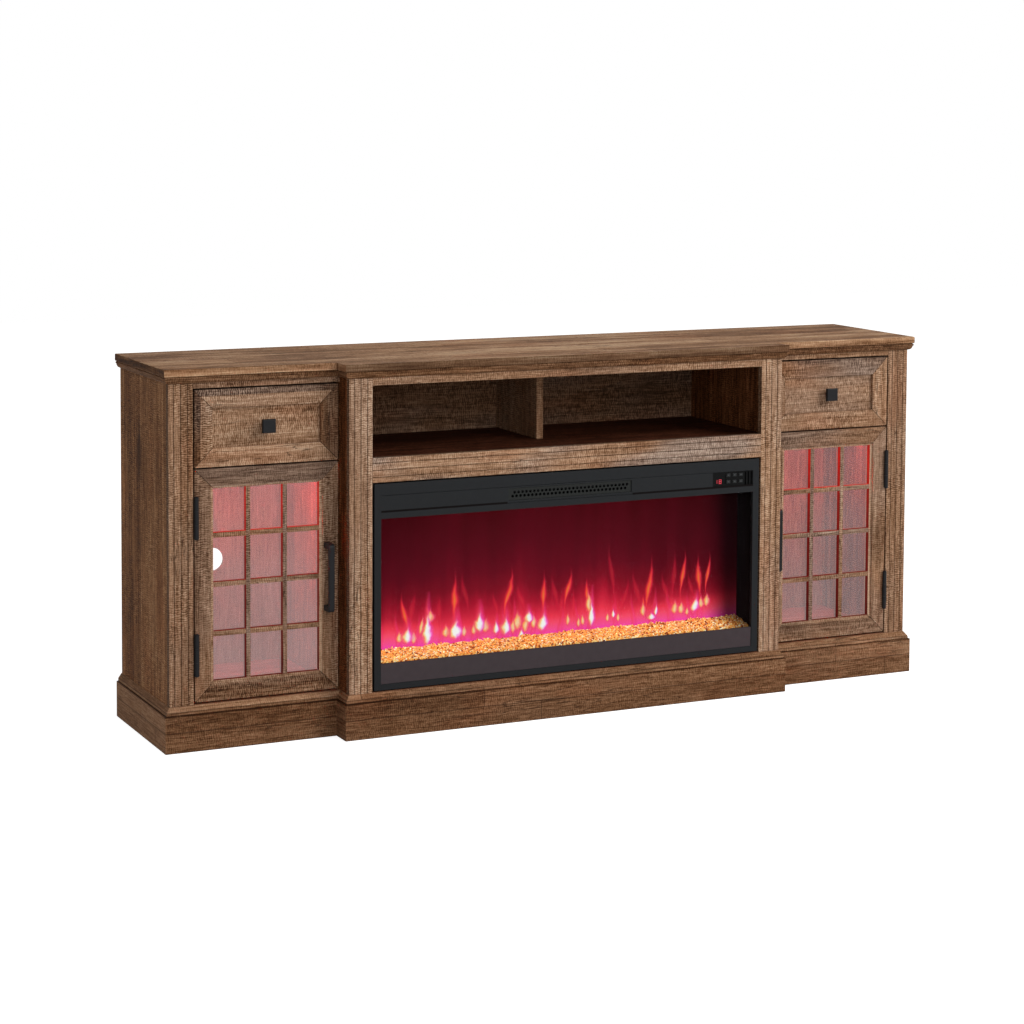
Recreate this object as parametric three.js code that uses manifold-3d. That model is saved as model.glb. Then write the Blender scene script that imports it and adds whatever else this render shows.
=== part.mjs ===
// Fireplace TV stand: a break-front media console with an open niche, two drawers, two glazed doors
// and an electric fire. Millimetres, +X right, +Y back, +Z up; the front faces -Y.
// The origin is on the floor, under the middle of the object.
import * as THREE from "three";
import { mergeVertices } from "three/addons/utils/BufferGeometryUtils.js";
import Module from "manifold-3d";

const wasm = await Module();
wasm.setup();

// Whole object
const width = 1778;
const depth = 395;
const height = 773;
const seam = 0.3; // gap left between pieces that touch
const cutOver = 2; // how far a cutting shape runs past what it cuts, and a joined one runs in
const sides = [
  ["left", -1],
  ["right", 1],
];

// Carcass boards
const boardThick = 15;
const overhang = 12; // how far the top's edge and the plinth stand out from the carcass
const centreHalf = 511.5; // half width of the centre bay
const centreStep = 52; // how far the centre bay stands in front of the side bays
const topThick = 15;
const topEase = 1;
const backThick = 5;
const backInset = 3; // from the carcass's back edge to the back panels

// Cornice moulding, from the carcass face outwards and from its foot upwards
const corniceHeight = 15;
const ovoloFoot = 1;
const ovoloOut = 8.5;
const ovoloUp = 9;
const beadOut = 2;
const beadHeight = 4.5;
const arcSteps = 4;

// Plinth
const plinthHeight = 92;
const plinthFlat = 76; // height of its flat board, below the moulded top
const plinthFillet = 3.5;
const plinthRise = 6;
const plinthTopOut = 1;

// Reeded boards: the pilasters and the centre rail
const reedWidth = 51;
const reedThick = 15;
const reedPitch = 14.5;
const reedGrooves = 3;
const grooveWidth = 3;
const grooveDepth = 1.6;

// Friezes, niche and what divides it
const friezeHeight = 26; // of the side bays' rails, from their foot to the underside of the top
const centreFriezeHeight = 31;
const nicheHeight = 156;
const railLip = 7; // how far the centre rail stands above the niche floor
const dividerThick = 16;
const dividerDepth = 208;

// Cable holes in the back panels
const cableHoleRadius = 25;
const sideHoleShift = 10; // of a side bay's hole from its door's middle, outwards
const sideHoleUp = 321;
const fireHoleUp = 190;

// Doors
const doorThick = 22;
const doorFloorGap = 4.5; // above the base
const hingeGap = 3; // between pilaster and door, where the hinge leaves lie
const latchGap = 3.5; // between door or drawer and the centre bay's side
const doorFace = 34; // width of the door frame's raised face
const doorStep = 5; // from the raised face back to the muntins
const paneBorder = 6.5; // margin of the muntin grid inside the raised face
const muntinWidth = 9.5; // of the upright ones
const muntinHeight = 10.5; // of the level ones
const gridThick = 11.5; // of the grid in front of the glass
const paneColumns = 3;
const paneRows = 4;
const glassThick = 3;

// Door hinges
const hingeLength = 84;
const hingeFromEnd = 55; // from the door's top or bottom to the nearer end of a hinge
const knuckleRadius = 4.75;
const hingeShift = 3.7; // of the hinge axis from the gap's middle, over the door
const pinRadius = 2.4;
const pinPlay = 0.35;
const leafThick = 1;
const leafDepth = 14;
const leafPlay = 0.35; // between a leaf's edge and the other half's knuckles
const finial = 2;
const roundSides = 16;

// Door pulls
const pullLength = 141;
const pullWidth = 11;
const pullReach = 33;
const pullBar = 8;
const pullFoot = 11;
const pullBend = 9;
const pullInnerBend = 4;
const leftPullFromEdge = 26.5; // from the left door's free edge to its pull's middle
const rightPullFromEdge = 10;

// Drawers
const drawerHeight = 156.5;
const frontGap = 3.5; // above and below a drawer front
const drawerFrontThick = 20;
const drawerFrame = 38;
const drawerRecess = 8;
const drawerBoxInset = 14; // of the box from the ends of its front
const drawerBoxDepth = 290;
const drawerBoxHeight = 124;
const drawerWall = 12;
const drawerBottom = 6;
const slideGap = 0.4;
const deckSetback = 2.5; // of the deck behind the door
const deckDrop = 3.5; // of the drawer front's lower edge below the deck's top
const guideWidth = 12;
const guideHeight = 14;
const guidePlay = 1;
const knobSize = 28;
const knobPlate = 9;
const knobEase = 2;
const knobReach = 22;
const knobStemRadius = 6;

// Light strips under the decks
const ledEndGap = 7.5;
const ledDepth = 12;
const ledHeight = 7;
const ledSetback = 6; // behind the deck's front edge
const ledEase = 3;

// Electric fire
const fireGap = 3.25; // below and above it
const fireSideGap = 4.5;
const bezelThick = 8;
const bezelStile = 15;
const bezelSill = 12;
const barHeight = 14; // of the bar above the glass
const bandLower = 34; // of the band above that bar, up to its crease
const bandUpper = 24.5; // of the band above the crease
const creaseWidth = 2;
const creaseDepth = 1.4;
const fireGlassThick = 4;
const fireGlassLap = 2.5; // behind the bezel, each side
const caseDepth = 142;
const caseWall = 2;
const casePlay = 0.5; // round the glass and the flame screen
const caseDeck = 3; // between firebox and heater bay
const caseFootUp = 4; // of the case's outside above the bezel's lower edge
const caseFootHalf = 15;
const caseFootInset = 60;
const caseFootFront = 20;
const webThick = 3;
const inletWidth = 28;
const inletHeight = 20;
const inletDepth = 8;
const inletFromEnd = 70;
const inletUp = 30;

// Heater outlet, blower and flame effect
const grilleShift = -7; // of its middle from the object's middle
const grilleHalf = 146;
const grilleUp = 5; // above the bar over the glass
const grilleHeight = 26;
const grilleSetback = 2;
const grilleThick = 1.5;
const hexRadius = 3.4;
const hexPitch = 9.2;
const hexMargin = 2;
const blowerRadius = 24;
const blowerHub = 14;
const blowerBlades = 16;
const blowerBladeShare = 0.4; // of the blade pitch
const blowerDisc = 2;
const blowerBack = 46; // of its axle behind the fire's face
const screenBack = 70; // of the flame screen behind the fire's face
const screenThick = 3;
const emberGap = 3; // between glass and embers
const emberFront = 57; // height of the ember bed above the bezel's lower edge, in front
const emberRear = 68;
const emberBump = 2.6;
const emberColumns = 64;
const emberRows = 5;
const rotorBack = 104;
const rotorUp = 72;
const rotorShaft = 3;
const rotorVane = 13;
const rotorVaneWidth = 22;
const rotorVaneThick = 1.2;
const rotorVanes = 14;

// Control panel and its buttons
const controlWidth = 101.5;
const controlThick = 6;
const controlSetback = 1;
const displayFrom = 2; // from the panel's left end
const displayWidth = 30;
const displayHeight = 20;
const displayDepth = 1.2;
const buttonFrom = 38.7; // from the panel's left end to the first column
const buttonPitch = 15.7;
const buttonRaise = 2; // of the buttons above the panel's middle
const buttonRowPitch = 14.5;
const buttonColumns = 3;
const buttonRows = 2;
const buttonWidth = 9.6;
const buttonHeight = 6.6;
const buttonPlay = 0.4;
const buttonProud = 1.4;
const buttonFlange = 1.2;
const buttonFlangeOut = 1.3;
const ribFrom = 80; // from the panel's left end to the first slot
const ribPitch = 7.5;
const ribSlot = 4;
const ribSlots = 3;
const ribMargin = 2;
const ribDepth = 3;

// Places that several pieces share
const backY = depth / 2;
const centreY = -depth / 2 + overhang; // front face of the centre bay
const sideY = centreY + centreStep; // front face of the side bays
const bodyHalf = width / 2 - overhang;
const topUnder = height - topThick;
const panelBackY = backY - backInset;
const panelFrontY = panelBackY - backThick;
const bayOuter = bodyHalf - boardThick; // inner face of an outer side panel
const pilasterOuter = bodyHalf - reedWidth; // inner edge of an outer pilaster
const pilasterInner = centreHalf - reedWidth; // inner edge of a centre pilaster
const nicheTop = topUnder - centreFriezeHeight;
const nicheFloor = nicheTop - nicheHeight;
const railHigh = nicheFloor + railLip;
const railLow = railHigh - reedWidth;
const drawerHigh = topUnder - friezeHeight - frontGap;
const drawerLow = drawerHigh - drawerHeight;
const doorLow = plinthHeight + doorFloorGap;
const doorHigh = drawerLow - frontGap;
const doorOuter = pilasterOuter - hingeGap; // hinge edge, measured from the middle plane
const doorInner = centreHalf + latchGap;
const frontMiddle = (doorOuter + doorInner) / 2;
const drawerBoxHalf = (doorOuter - doorInner) / 2 - drawerBoxInset;
const deckTop = drawerLow + deckDrop;
const deckFrontY = sideY + doorThick + deckSetback;
const gapMiddle = pilasterOuter - hingeGap / 2;
const hingeX = gapMiddle - hingeShift;
const hingeY = sideY - knuckleRadius - leafPlay - seam;
const fireHalf = pilasterInner - fireSideGap;
const viewHalf = fireHalf - bezelStile;
const fireHeight = railLow - plinthHeight - 2 * fireGap;
const crease = fireHeight - bandUpper;
const bandLow = crease - bandLower;
const viewTop = bandLow - barHeight;
const glassFront = bezelThick + seam;
const glassBack = glassFront + fireGlassThick;
const glassHalf = viewHalf + fireGlassLap;
const cavityHalf = glassHalf + casePlay;
const cavityLow = bezelSill - fireGlassLap - casePlay;
const cavityHigh = viewTop + fireGlassLap + casePlay;
const caseBack = glassFront + caseDepth;
const caseHigh = fireHeight - caseFootUp;
const inletMiddle = cavityHalf + caseWall - inletFromEnd;

// Finishes
const finish = (color, roughness, metalness) =>
  new THREE.MeshStandardMaterial({ color, roughness, metalness, flatShading: true });
const rusticWood = finish(0x7d5b41, 0.7, 0);
const darkWood = finish(0x5c4029, 0.75, 0);
const panelWood = finish(0x6a503a, 0.8, 0);
const blackMetal = finish(0x15161a, 0.45, 0.6);
const blackSteel = finish(0x26282b, 0.5, 0.4);
const galvanised = finish(0x8d8f90, 0.5, 0.8);
const blackPlastic = finish(0x141517, 0.4, 0);
const keyPlastic = finish(0x33363a, 0.45, 0);
const meshSteel = finish(0x1b1c1e, 0.5, 0.5);
const diffuser = finish(0xf2b6b6, 0.4, 0);
const emberGlass = finish(0xe09a4a, 0.2, 0);
const screenFinish = finish(0x5a0a20, 0.5, 0);
const bareMetal = finish(0xa0a3a6, 0.35, 0.9);
const clearGlass = new THREE.MeshStandardMaterial({
  color: 0xd9a7a7,
  roughness: 0.08,
  metalness: 0,
  transparent: true,
  opacity: 0.4,
});
const smokedGlass = new THREE.MeshStandardMaterial({
  color: 0x1a1014,
  roughness: 0.05,
  metalness: 0,
  transparent: true,
  opacity: 0.4,
});

// A named mesh.
function piece(name, geometry, material) {
  const mesh = new THREE.Mesh(geometry, material);
  mesh.name = name;
  return mesh;
}

// A block between two coordinates along each axis.
function block([x0, x1], [y0, y1], [z0, z1]) {
  const geometry = new THREE.BoxGeometry(x1 - x0, y1 - y0, z1 - z0);
  return geometry.translate((x0 + x1) / 2, (y0 + y1) / 2, (z0 + z1) / 2);
}

// A rectangular board as a mesh, placed by its middle.
function board(name, [x0, x1], [y0, y1], [z0, z1], material) {
  const mesh = piece(name, new THREE.BoxGeometry(x1 - x0, y1 - y0, z1 - z0), material);
  mesh.position.set((x0 + x1) / 2, (y0 + y1) / 2, (z0 + z1) / 2);
  return mesh;
}

// The x range between two distances from the middle plane, on one side of it.
function across(sign, near, far) {
  return [Math.min(sign * near, sign * far), Math.max(sign * near, sign * far)];
}

// The range of a given half width about a middle.
function about(middle, half) {
  return [middle - half, middle + half];
}

// A closed mesh as a solid that can be joined and cut.
function toSolid(geometry) {
  const bare = geometry.clone();
  bare.deleteAttribute("normal");
  bare.deleteAttribute("uv");
  const merged = mergeVertices(bare);
  return new wasm.Manifold(
    new wasm.Mesh({
      numProp: 3,
      vertProperties: merged.attributes.position.array,
      triVerts: new Uint32Array(merged.index.array),
    }),
  );
}

function toGeometry(solid) {
  const { vertProperties, triVerts } = solid.getMesh();
  const shared = new THREE.BufferGeometry();
  shared.setAttribute("position", new THREE.BufferAttribute(vertProperties, 3));
  shared.setIndex(new THREE.BufferAttribute(triVerts, 1));
  const flat = shared.toNonIndexed();
  flat.computeVertexNormals();
  return flat;
}

// The first geometry with others joined to it and others cut from it.
function built(first, joined, cut = []) {
  const whole = joined.reduce((sum, next) => sum.add(toSolid(next)), toSolid(first));
  return toGeometry(cut.reduce((rest, next) => rest.subtract(toSolid(next)), whole));
}

// A board with rectangular holes right through it, each given as its ranges in x and z.
function pierced(wide, deep, high, holes) {
  const cutters = holes.map(([x, z]) => block(x, [deep[0] - cutOver, deep[1] + cutOver], z));
  return built(block(wide, deep, high), [], cutters);
}

function rectangle([x0, x1], [y0, y1]) {
  return new THREE.Shape([
    new THREE.Vector2(x0, y0),
    new THREE.Vector2(x1, y0),
    new THREE.Vector2(x1, y1),
    new THREE.Vector2(x0, y1),
  ]);
}

function circle(x, y, radius) {
  const path = new THREE.Path();
  path.absarc(x, y, radius, 0, 2 * Math.PI);
  return path;
}

// A shape drawn in x and z, made into a plate from front to back along y.
function plate(shape, front, back, curveSegments = roundSides / 2) {
  const options = { depth: back - front, bevelEnabled: false, curveSegments };
  const geometry = new THREE.ExtrudeGeometry(shape, options);
  return geometry.rotateX(Math.PI / 2).translate(0, back, 0);
}

// A shape drawn in y and z, made into a bar along x.
function bar(shape, [x0, x1]) {
  const geometry = new THREE.ExtrudeGeometry(shape, { depth: x1 - x0, bevelEnabled: false });
  const turn = new THREE.Matrix4().makeBasis(
    new THREE.Vector3(0, 1, 0),
    new THREE.Vector3(0, 0, 1),
    new THREE.Vector3(1, 0, 0),
  );
  return geometry.applyMatrix4(turn).translate(x0, 0, 0);
}

// Points along part of an ellipse, both ends included.
function arcPoints([cx, cy], [rx, ry], from, to) {
  return Array.from({ length: arcSteps + 1 }, (_, i) => {
    const angle = from + ((to - from) * i) / arcSteps;
    return [cx + rx * Math.cos(angle), cy + ry * Math.sin(angle)];
  });
}

// A group whose pieces are given in the object's frame and turn about an upright axis at x, y.
function hung(x, y, pieces) {
  const pivot = new THREE.Group();
  const carried = new THREE.Group();
  pivot.position.set(x, y, 0);
  carried.position.set(-x, -y, 0);
  carried.add(...pieces);
  pivot.add(carried);
  return pivot;
}

// The plan of the carcass, stepping forward over the centre bay.
function breakFront(sideHalf, middleHalf, sideFront, middleFront, back) {
  return new THREE.Shape([
    new THREE.Vector2(sideHalf, back),
    new THREE.Vector2(-sideHalf, back),
    new THREE.Vector2(-sideHalf, sideFront),
    new THREE.Vector2(-middleHalf, sideFront),
    new THREE.Vector2(-middleHalf, middleFront),
    new THREE.Vector2(middleHalf, middleFront),
    new THREE.Vector2(middleHalf, sideFront),
    new THREE.Vector2(sideHalf, sideFront),
  ]);
}

// A profile of [out, up] points run round the front and ends of the carcass, mitred at its corners.
function mitredRun(profile) {
  const path = [
    [-bodyHalf, backY],
    [-bodyHalf, sideY],
    [-centreHalf, sideY],
    [-centreHalf, centreY],
    [centreHalf, centreY],
    [centreHalf, sideY],
    [bodyHalf, sideY],
    [bodyHalf, backY],
  ].map(([x, y]) => new THREE.Vector2(x, y));
  const outward = path.slice(1).map((end, i) => {
    const along = end.clone().sub(path[i]).normalize();
    return new THREE.Vector2(along.y, -along.x);
  });
  const positions = [];
  path.forEach((corner, i) => {
    const before = outward[Math.max(i - 1, 0)];
    const after = outward[Math.min(i, outward.length - 1)];
    const mitre = before.clone().add(after).divideScalar(1 + before.dot(after));
    profile.forEach(([out, up]) => {
      positions.push(corner.x + mitre.x * out, corner.y + mitre.y * out, up);
    });
  });
  const count = profile.length;
  const indices = [];
  for (let i = 0; i < path.length - 1; i += 1) {
    for (let j = 0; j < count; j += 1) {
      const a = i * count + j;
      const b = i * count + ((j + 1) % count);
      indices.push(a, a + count, b, b, a + count, b + count);
    }
  }
  const outline = profile.map(([out, up]) => new THREE.Vector2(out, up));
  const last = (path.length - 1) * count;
  THREE.ShapeUtils.triangulateShape(outline, []).forEach(([a, b, c]) => {
    indices.push(a, b, c);
    indices.push(last + a, last + c, last + b);
  });
  const geometry = new THREE.BufferGeometry();
  geometry.setAttribute("position", new THREE.Float32BufferAttribute(positions, 3));
  geometry.setIndex(indices);
  const flat = geometry.toNonIndexed();
  flat.computeVertexNormals();
  return flat;
}

function topBoard() {
  const outline = breakFront(
    bodyHalf + overhang,
    centreHalf + overhang,
    sideY - overhang,
    centreY - overhang,
    backY,
  );
  const geometry = new THREE.ExtrudeGeometry(outline, {
    depth: topThick - 2 * topEase,
    bevelSize: topEase,
    bevelThickness: topEase,
    bevelOffset: -topEase,
    bevelSegments: 1,
  });
  const mesh = piece("top_board", geometry, rusticWood);
  mesh.position.z = topUnder + topEase;
  return mesh;
}

function cornice() {
  const quarter = Math.PI / 2;
  const ovolo = arcPoints([ovoloFoot, ovoloUp], [ovoloOut - ovoloFoot, ovoloUp], -quarter, 0);
  const beadMiddle = [ovoloOut, ovoloUp + beadHeight / 2];
  const bead = arcPoints(beadMiddle, [beadOut, beadHeight / 2], -quarter, quarter);
  const profile = [
    [seam, 0],
    ...ovolo,
    ...bead.slice(1),
    [ovoloOut, corniceHeight - seam],
    [seam, corniceHeight - seam],
  ];
  const mesh = piece("cornice_moulding", mitredRun(profile), rusticWood);
  mesh.position.z = topUnder - corniceHeight;
  return mesh;
}

function plinth() {
  const inner = overhang - plinthFillet;
  const profile = [
    [seam, 0],
    [overhang, 0],
    [overhang, plinthFlat],
    [inner, plinthFlat],
    [inner, plinthFlat + plinthRise],
    [plinthTopOut, plinthHeight],
    [seam, plinthHeight],
  ];
  return piece("plinth", mitredRun(profile), rusticWood);
}

function basePanel() {
  const outline = breakFront(bayOuter - seam, centreHalf, sideY, centreY, backY);
  const options = { depth: boardThick, bevelEnabled: false };
  const mesh = piece("base_panel", new THREE.ExtrudeGeometry(outline, options), darkWood);
  mesh.position.z = plinthHeight - boardThick;
  return mesh;
}

function outerSide(side, sign) {
  const upright = [0, topUnder - seam];
  const deep = [sideY + reedThick + seam, backY];
  return board(`${side}_outer_side`, across(sign, bayOuter, bodyHalf), deep, upright, rusticWood);
}

function innerSide(side, sign) {
  const upright = [plinthHeight + seam, topUnder - seam];
  const deep = [centreY + reedThick + seam, backY];
  const wide = across(sign, centreHalf - boardThick, centreHalf);
  return board(`${side}_inner_side`, wide, deep, upright, rusticWood);
}

// A board with V grooves along its front, standing on its lower end.
function reededGeometry(length) {
  const half = reedWidth / 2;
  const outline = [
    [half, reedThick],
    [-half, reedThick],
    [-half, 0],
  ];
  for (let i = 0; i < reedGrooves; i += 1) {
    const middle = (i - (reedGrooves - 1) / 2) * reedPitch;
    outline.push([middle - grooveWidth / 2, 0], [middle, grooveDepth], [middle + grooveWidth / 2, 0]);
  }
  outline.push([half, 0]);
  const shape = new THREE.Shape(outline.map(([x, y]) => new THREE.Vector2(x, y)));
  return new THREE.ExtrudeGeometry(shape, { depth: length, bevelEnabled: false });
}

function pilaster(name, middle, front) {
  const foot = plinthHeight + seam;
  const mesh = piece(name, reededGeometry(topUnder - seam - foot), rusticWood);
  mesh.position.set(middle, front, foot);
  return mesh;
}

function centreRail() {
  const half = pilasterInner - seam;
  const mesh = piece("centre_rail", reededGeometry(2 * half), rusticWood);
  mesh.rotation.y = Math.PI / 2;
  mesh.position.set(-half, centreY, railLow + reedWidth / 2);
  return mesh;
}

function friezes() {
  const upright = [topUnder - friezeHeight, topUnder - seam];
  const deep = [sideY, sideY + reedThick];
  const rails = sides.map(([side, sign]) =>
    board(
      `${side}_frieze`,
      across(sign, centreHalf + seam, pilasterOuter - seam),
      deep,
      upright,
      rusticWood,
    ),
  );
  const middle = board(
    "centre_frieze",
    about(0, pilasterInner - seam),
    [centreY, centreY + reedThick],
    [nicheTop, topUnder - seam],
    rusticWood,
  );
  return [...rails, middle];
}

function niche() {
  const floor = board(
    "niche_floor",
    about(0, centreHalf - boardThick - seam),
    [centreY + reedThick + seam, panelFrontY - seam],
    [nicheFloor - boardThick, nicheFloor],
    darkWood,
  );
  const divider = board(
    "niche_divider",
    about(0, dividerThick / 2),
    [panelFrontY - dividerDepth, panelFrontY - seam],
    [nicheFloor + seam, topUnder - seam],
    rusticWood,
  );
  return [floor, divider];
}

function backPanel(name, wide, holeX, holeZ) {
  const shape = rectangle(wide, [plinthHeight + seam, topUnder - seam]);
  shape.holes.push(circle(holeX, holeZ, cableHoleRadius));
  return piece(name, plate(shape, panelFrontY, panelBackY, roundSides), panelWood);
}

function backPanels() {
  const wings = sides.map(([side, sign]) =>
    backPanel(
      `${side}_back_panel`,
      across(sign, centreHalf + seam, bayOuter - seam),
      sign * (frontMiddle + sideHoleShift),
      sideHoleUp,
    ),
  );
  const half = centreHalf - boardThick - seam;
  return [...wings, backPanel("centre_back_panel", about(0, half), inletMiddle, fireHoleUp)];
}

// The board between drawer and door, with the two strips that guide the drawer box.
function drawerDeck(side, sign) {
  const wide = across(sign, centreHalf + seam, bayOuter - seam);
  const deep = [deckFrontY, panelFrontY - seam];
  const upright = [deckTop - cutOver, deckTop + guideHeight];
  const guides = [-1, 1].map((end) => {
    const near = frontMiddle + end * (drawerBoxHalf + guidePlay);
    return block(across(sign, near, near + end * guideWidth), deep, upright);
  });
  const deck = block(wide, deep, [deckTop - boardThick, deckTop]);
  return piece(`${side}_drawer_deck`, built(deck, guides), darkWood);
}

function ledStrip(side, sign) {
  const under = deckTop - boardThick - seam;
  const front = deckFrontY + ledSetback;
  const section = new THREE.Shape([
    new THREE.Vector2(front, under),
    new THREE.Vector2(front, under - ledHeight + ledEase),
    new THREE.Vector2(front + ledEase, under - ledHeight),
    new THREE.Vector2(front + ledDepth, under - ledHeight),
    new THREE.Vector2(front + ledDepth, under),
  ]);
  const wide = across(sign, centreHalf + ledEndGap, pilasterOuter - ledEndGap);
  return piece(`${side}_led_strip`, bar(section, wide), diffuser);
}

// The pane openings of a door, as ranges in x and z.
function panes(wide, high) {
  const paneWidth = (wide[1] - wide[0] - 2 * paneBorder - (paneColumns - 1) * muntinWidth) / paneColumns;
  const paneHeight = (high[1] - high[0] - 2 * paneBorder - (paneRows - 1) * muntinHeight) / paneRows;
  const found = [];
  for (let row = 0; row < paneRows; row += 1) {
    for (let column = 0; column < paneColumns; column += 1) {
      const x = wide[0] + paneBorder + column * (paneWidth + muntinWidth);
      const z = high[0] + paneBorder + row * (paneHeight + muntinHeight);
      found.push([
        [x, x + paneWidth],
        [z, z + paneHeight],
      ]);
    }
  }
  return found;
}

// A door's frame with one grid of muntins in front of the glass and one behind it.
function doorFrame(side, wide, high) {
  const opening = [
    [wide[0] + doorFace, wide[1] - doorFace],
    [high[0] + doorFace, high[1] - doorFace],
  ];
  const [gridWide, gridHigh] = opening.map(([low, top]) => [low - cutOver, top + cutOver]);
  const gridFront = sideY + doorStep;
  const slotBack = gridFront + gridThick + glassThick + 2 * seam;
  const back = sideY + doorThick;
  const ring = pierced(wide, [sideY, back], high, [opening]);
  const geometry = built(ring, [
    pierced(gridWide, [gridFront, gridFront + gridThick], gridHigh, panes(...opening)),
    pierced(gridWide, [slotBack, back], gridHigh, panes(...opening)),
  ]);
  return piece(`${side}_door_frame`, geometry, rusticWood);
}

function doorGlass(side, wide, high) {
  const front = sideY + doorStep + gridThick + seam;
  const inset = doorFace + seam;
  return board(
    `${side}_door_glass`,
    [wide[0] + inset, wide[1] - inset],
    [front, front + glassThick],
    [high[0] + inset, high[1] - inset],
    clearGlass,
  );
}

// A flat bar bent back to the door at both ends.
function doorPull(side, sign) {
  const face = sideY - seam;
  const front = face - pullReach;
  const inside = front + pullBar;
  const low = (doorLow + doorHigh - pullLength) / 2;
  const high = low + pullLength;
  const shape = new THREE.Shape();
  shape.moveTo(face, low);
  shape.lineTo(front + pullBend, low);
  shape.quadraticCurveTo(front, low, front, low + pullBend);
  shape.lineTo(front, high - pullBend);
  shape.quadraticCurveTo(front, high, front + pullBend, high);
  shape.lineTo(face, high);
  shape.lineTo(face, high - pullFoot);
  shape.lineTo(inside + pullInnerBend, high - pullFoot);
  shape.quadraticCurveTo(inside, high - pullFoot, inside, high - pullFoot - pullInnerBend);
  shape.lineTo(inside, low + pullFoot + pullInnerBend);
  shape.quadraticCurveTo(inside, low + pullFoot, inside + pullInnerBend, low + pullFoot);
  shape.lineTo(face, low + pullFoot);
  const fromEdge = side === "left" ? leftPullFromEdge : rightPullFromEdge;
  const middle = sign * (doorInner + fromEdge);
  return piece(`${side}_door_pull`, bar(shape, about(middle, pullWidth / 2)), blackMetal);
}

// A round body about the hinge axis, from [radius, z] points.
function turned(points, x, y) {
  const outline = points.map(([radius, z]) => new THREE.Vector2(radius, z));
  const geometry = new THREE.LatheGeometry(outline, roundSides);
  return geometry.rotateX(Math.PI / 2).translate(x, y, 0);
}

// A hinge's two halves. The fixed leaf has the end knuckles and the pin, the door leaf the middle one.
function hinge(side, sign, place, low) {
  const x = sign * hingeX;
  const high = low + hingeLength;
  const third = hingeLength / 3;
  const knuckleLow = low + third;
  const knuckleHigh = high - third;
  const bore = pinRadius + pinPlay;
  const leafStart = hingeY + knuckleRadius + leafPlay;
  const leafDeep = [leafStart, leafStart + leafDepth];
  const tabDeep = [hingeY + bore / 2, leafStart + cutOver];
  const leafAcross = (towards) => {
    const near = gapMiddle + towards * (hingeGap / 2 - seam - leafThick);
    return across(sign, near, near + towards * leafThick);
  };
  const pin = turned(
    [
      [0, low - finial],
      [knuckleRadius / 2, low - finial],
      [knuckleRadius, low],
      [knuckleRadius, knuckleLow - seam],
      [pinRadius, knuckleLow - seam],
      [pinRadius, knuckleHigh + seam],
      [knuckleRadius, knuckleHigh + seam],
      [knuckleRadius, high],
      [knuckleRadius / 2, high + finial],
      [0, high + finial],
    ],
    x,
    hingeY,
  );
  const fixed = built(pin, [
    block(leafAcross(1), leafDeep, [low, high]),
    block(leafAcross(1), tabDeep, [low, knuckleLow - seam]),
    block(leafAcross(1), tabDeep, [knuckleHigh + seam, high]),
  ]);
  const knuckle = turned(
    [
      [bore, knuckleLow],
      [knuckleRadius, knuckleLow],
      [knuckleRadius, knuckleHigh],
      [bore, knuckleHigh],
      [bore, knuckleLow],
    ],
    x,
    hingeY,
  );
  const moving = built(knuckle, [
    block(leafAcross(-1), leafDeep, [low, high]),
    block(leafAcross(-1), tabDeep, [knuckleLow, knuckleHigh]),
  ]);
  return [
    piece(`${side}_${place}_hinge_frame_leaf`, fixed, blackMetal),
    piece(`${side}_${place}_hinge_door_leaf`, moving, blackMetal),
  ];
}

function door(side, sign) {
  const wide = across(sign, doorInner, doorOuter);
  const high = [doorLow, doorHigh];
  const [lowerFixed, lowerMoving] = hinge(side, sign, "lower", doorLow + hingeFromEnd);
  const [upperFixed, upperMoving] = hinge(side, sign, "upper", doorHigh - hingeFromEnd - hingeLength);
  const leaf = hung(sign * hingeX, hingeY, [
    doorFrame(side, wide, high),
    doorGlass(side, wide, high),
    doorPull(side, sign),
    lowerMoving,
    upperMoving,
  ]);
  return [leaf, lowerFixed, upperFixed];
}

function drawerFront(side, wide, high) {
  const recess = block(
    [wide[0] + drawerFrame, wide[1] - drawerFrame],
    [sideY - cutOver, sideY + drawerRecess],
    [high[0] + drawerFrame, high[1] - drawerFrame],
  );
  const front = block(wide, [sideY, sideY + drawerFrontThick], high);
  return piece(`${side}_drawer_front`, built(front, [], [recess]), rusticWood);
}

function drawerBox(side, sign) {
  const front = sideY + drawerFrontThick + seam;
  const back = front + drawerBoxDepth;
  const low = deckTop + slideGap;
  const top = low + drawerBoxHeight;
  const middle = sign * frontMiddle;
  const outside = block(about(middle, drawerBoxHalf), [front, back], [low, top]);
  const inside = block(
    about(middle, drawerBoxHalf - drawerWall),
    [front + drawerWall, back - drawerWall],
    [low + drawerBottom, top + cutOver],
  );
  return piece(`${side}_drawer_box`, built(outside, [], [inside]), panelWood);
}

// A square knob on a round stem, standing in the drawer front's recess.
function drawerKnob(side, sign) {
  const root = sideY + drawerRecess - seam;
  const face = root - knobReach;
  const shape = rectangle(about(0, knobSize / 2 - knobEase), about(0, knobSize / 2 - knobEase));
  const plateBody = new THREE.ExtrudeGeometry(shape, {
    depth: knobPlate - 2 * knobEase,
    bevelSize: knobEase,
    bevelThickness: knobEase,
    bevelSegments: 2,
  });
  plateBody.rotateX(Math.PI / 2).translate(0, face + knobPlate - knobEase, 0);
  const stem = new THREE.CylinderGeometry(
    knobStemRadius,
    knobStemRadius,
    knobReach - knobPlate + cutOver,
    roundSides,
  );
  stem.translate(0, (face + knobPlate - cutOver + root) / 2, 0);
  const mesh = piece(`${side}_drawer_knob`, built(plateBody, [stem]), blackMetal);
  mesh.position.set(sign * frontMiddle, 0, (drawerLow + drawerHigh) / 2);
  return mesh;
}

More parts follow.
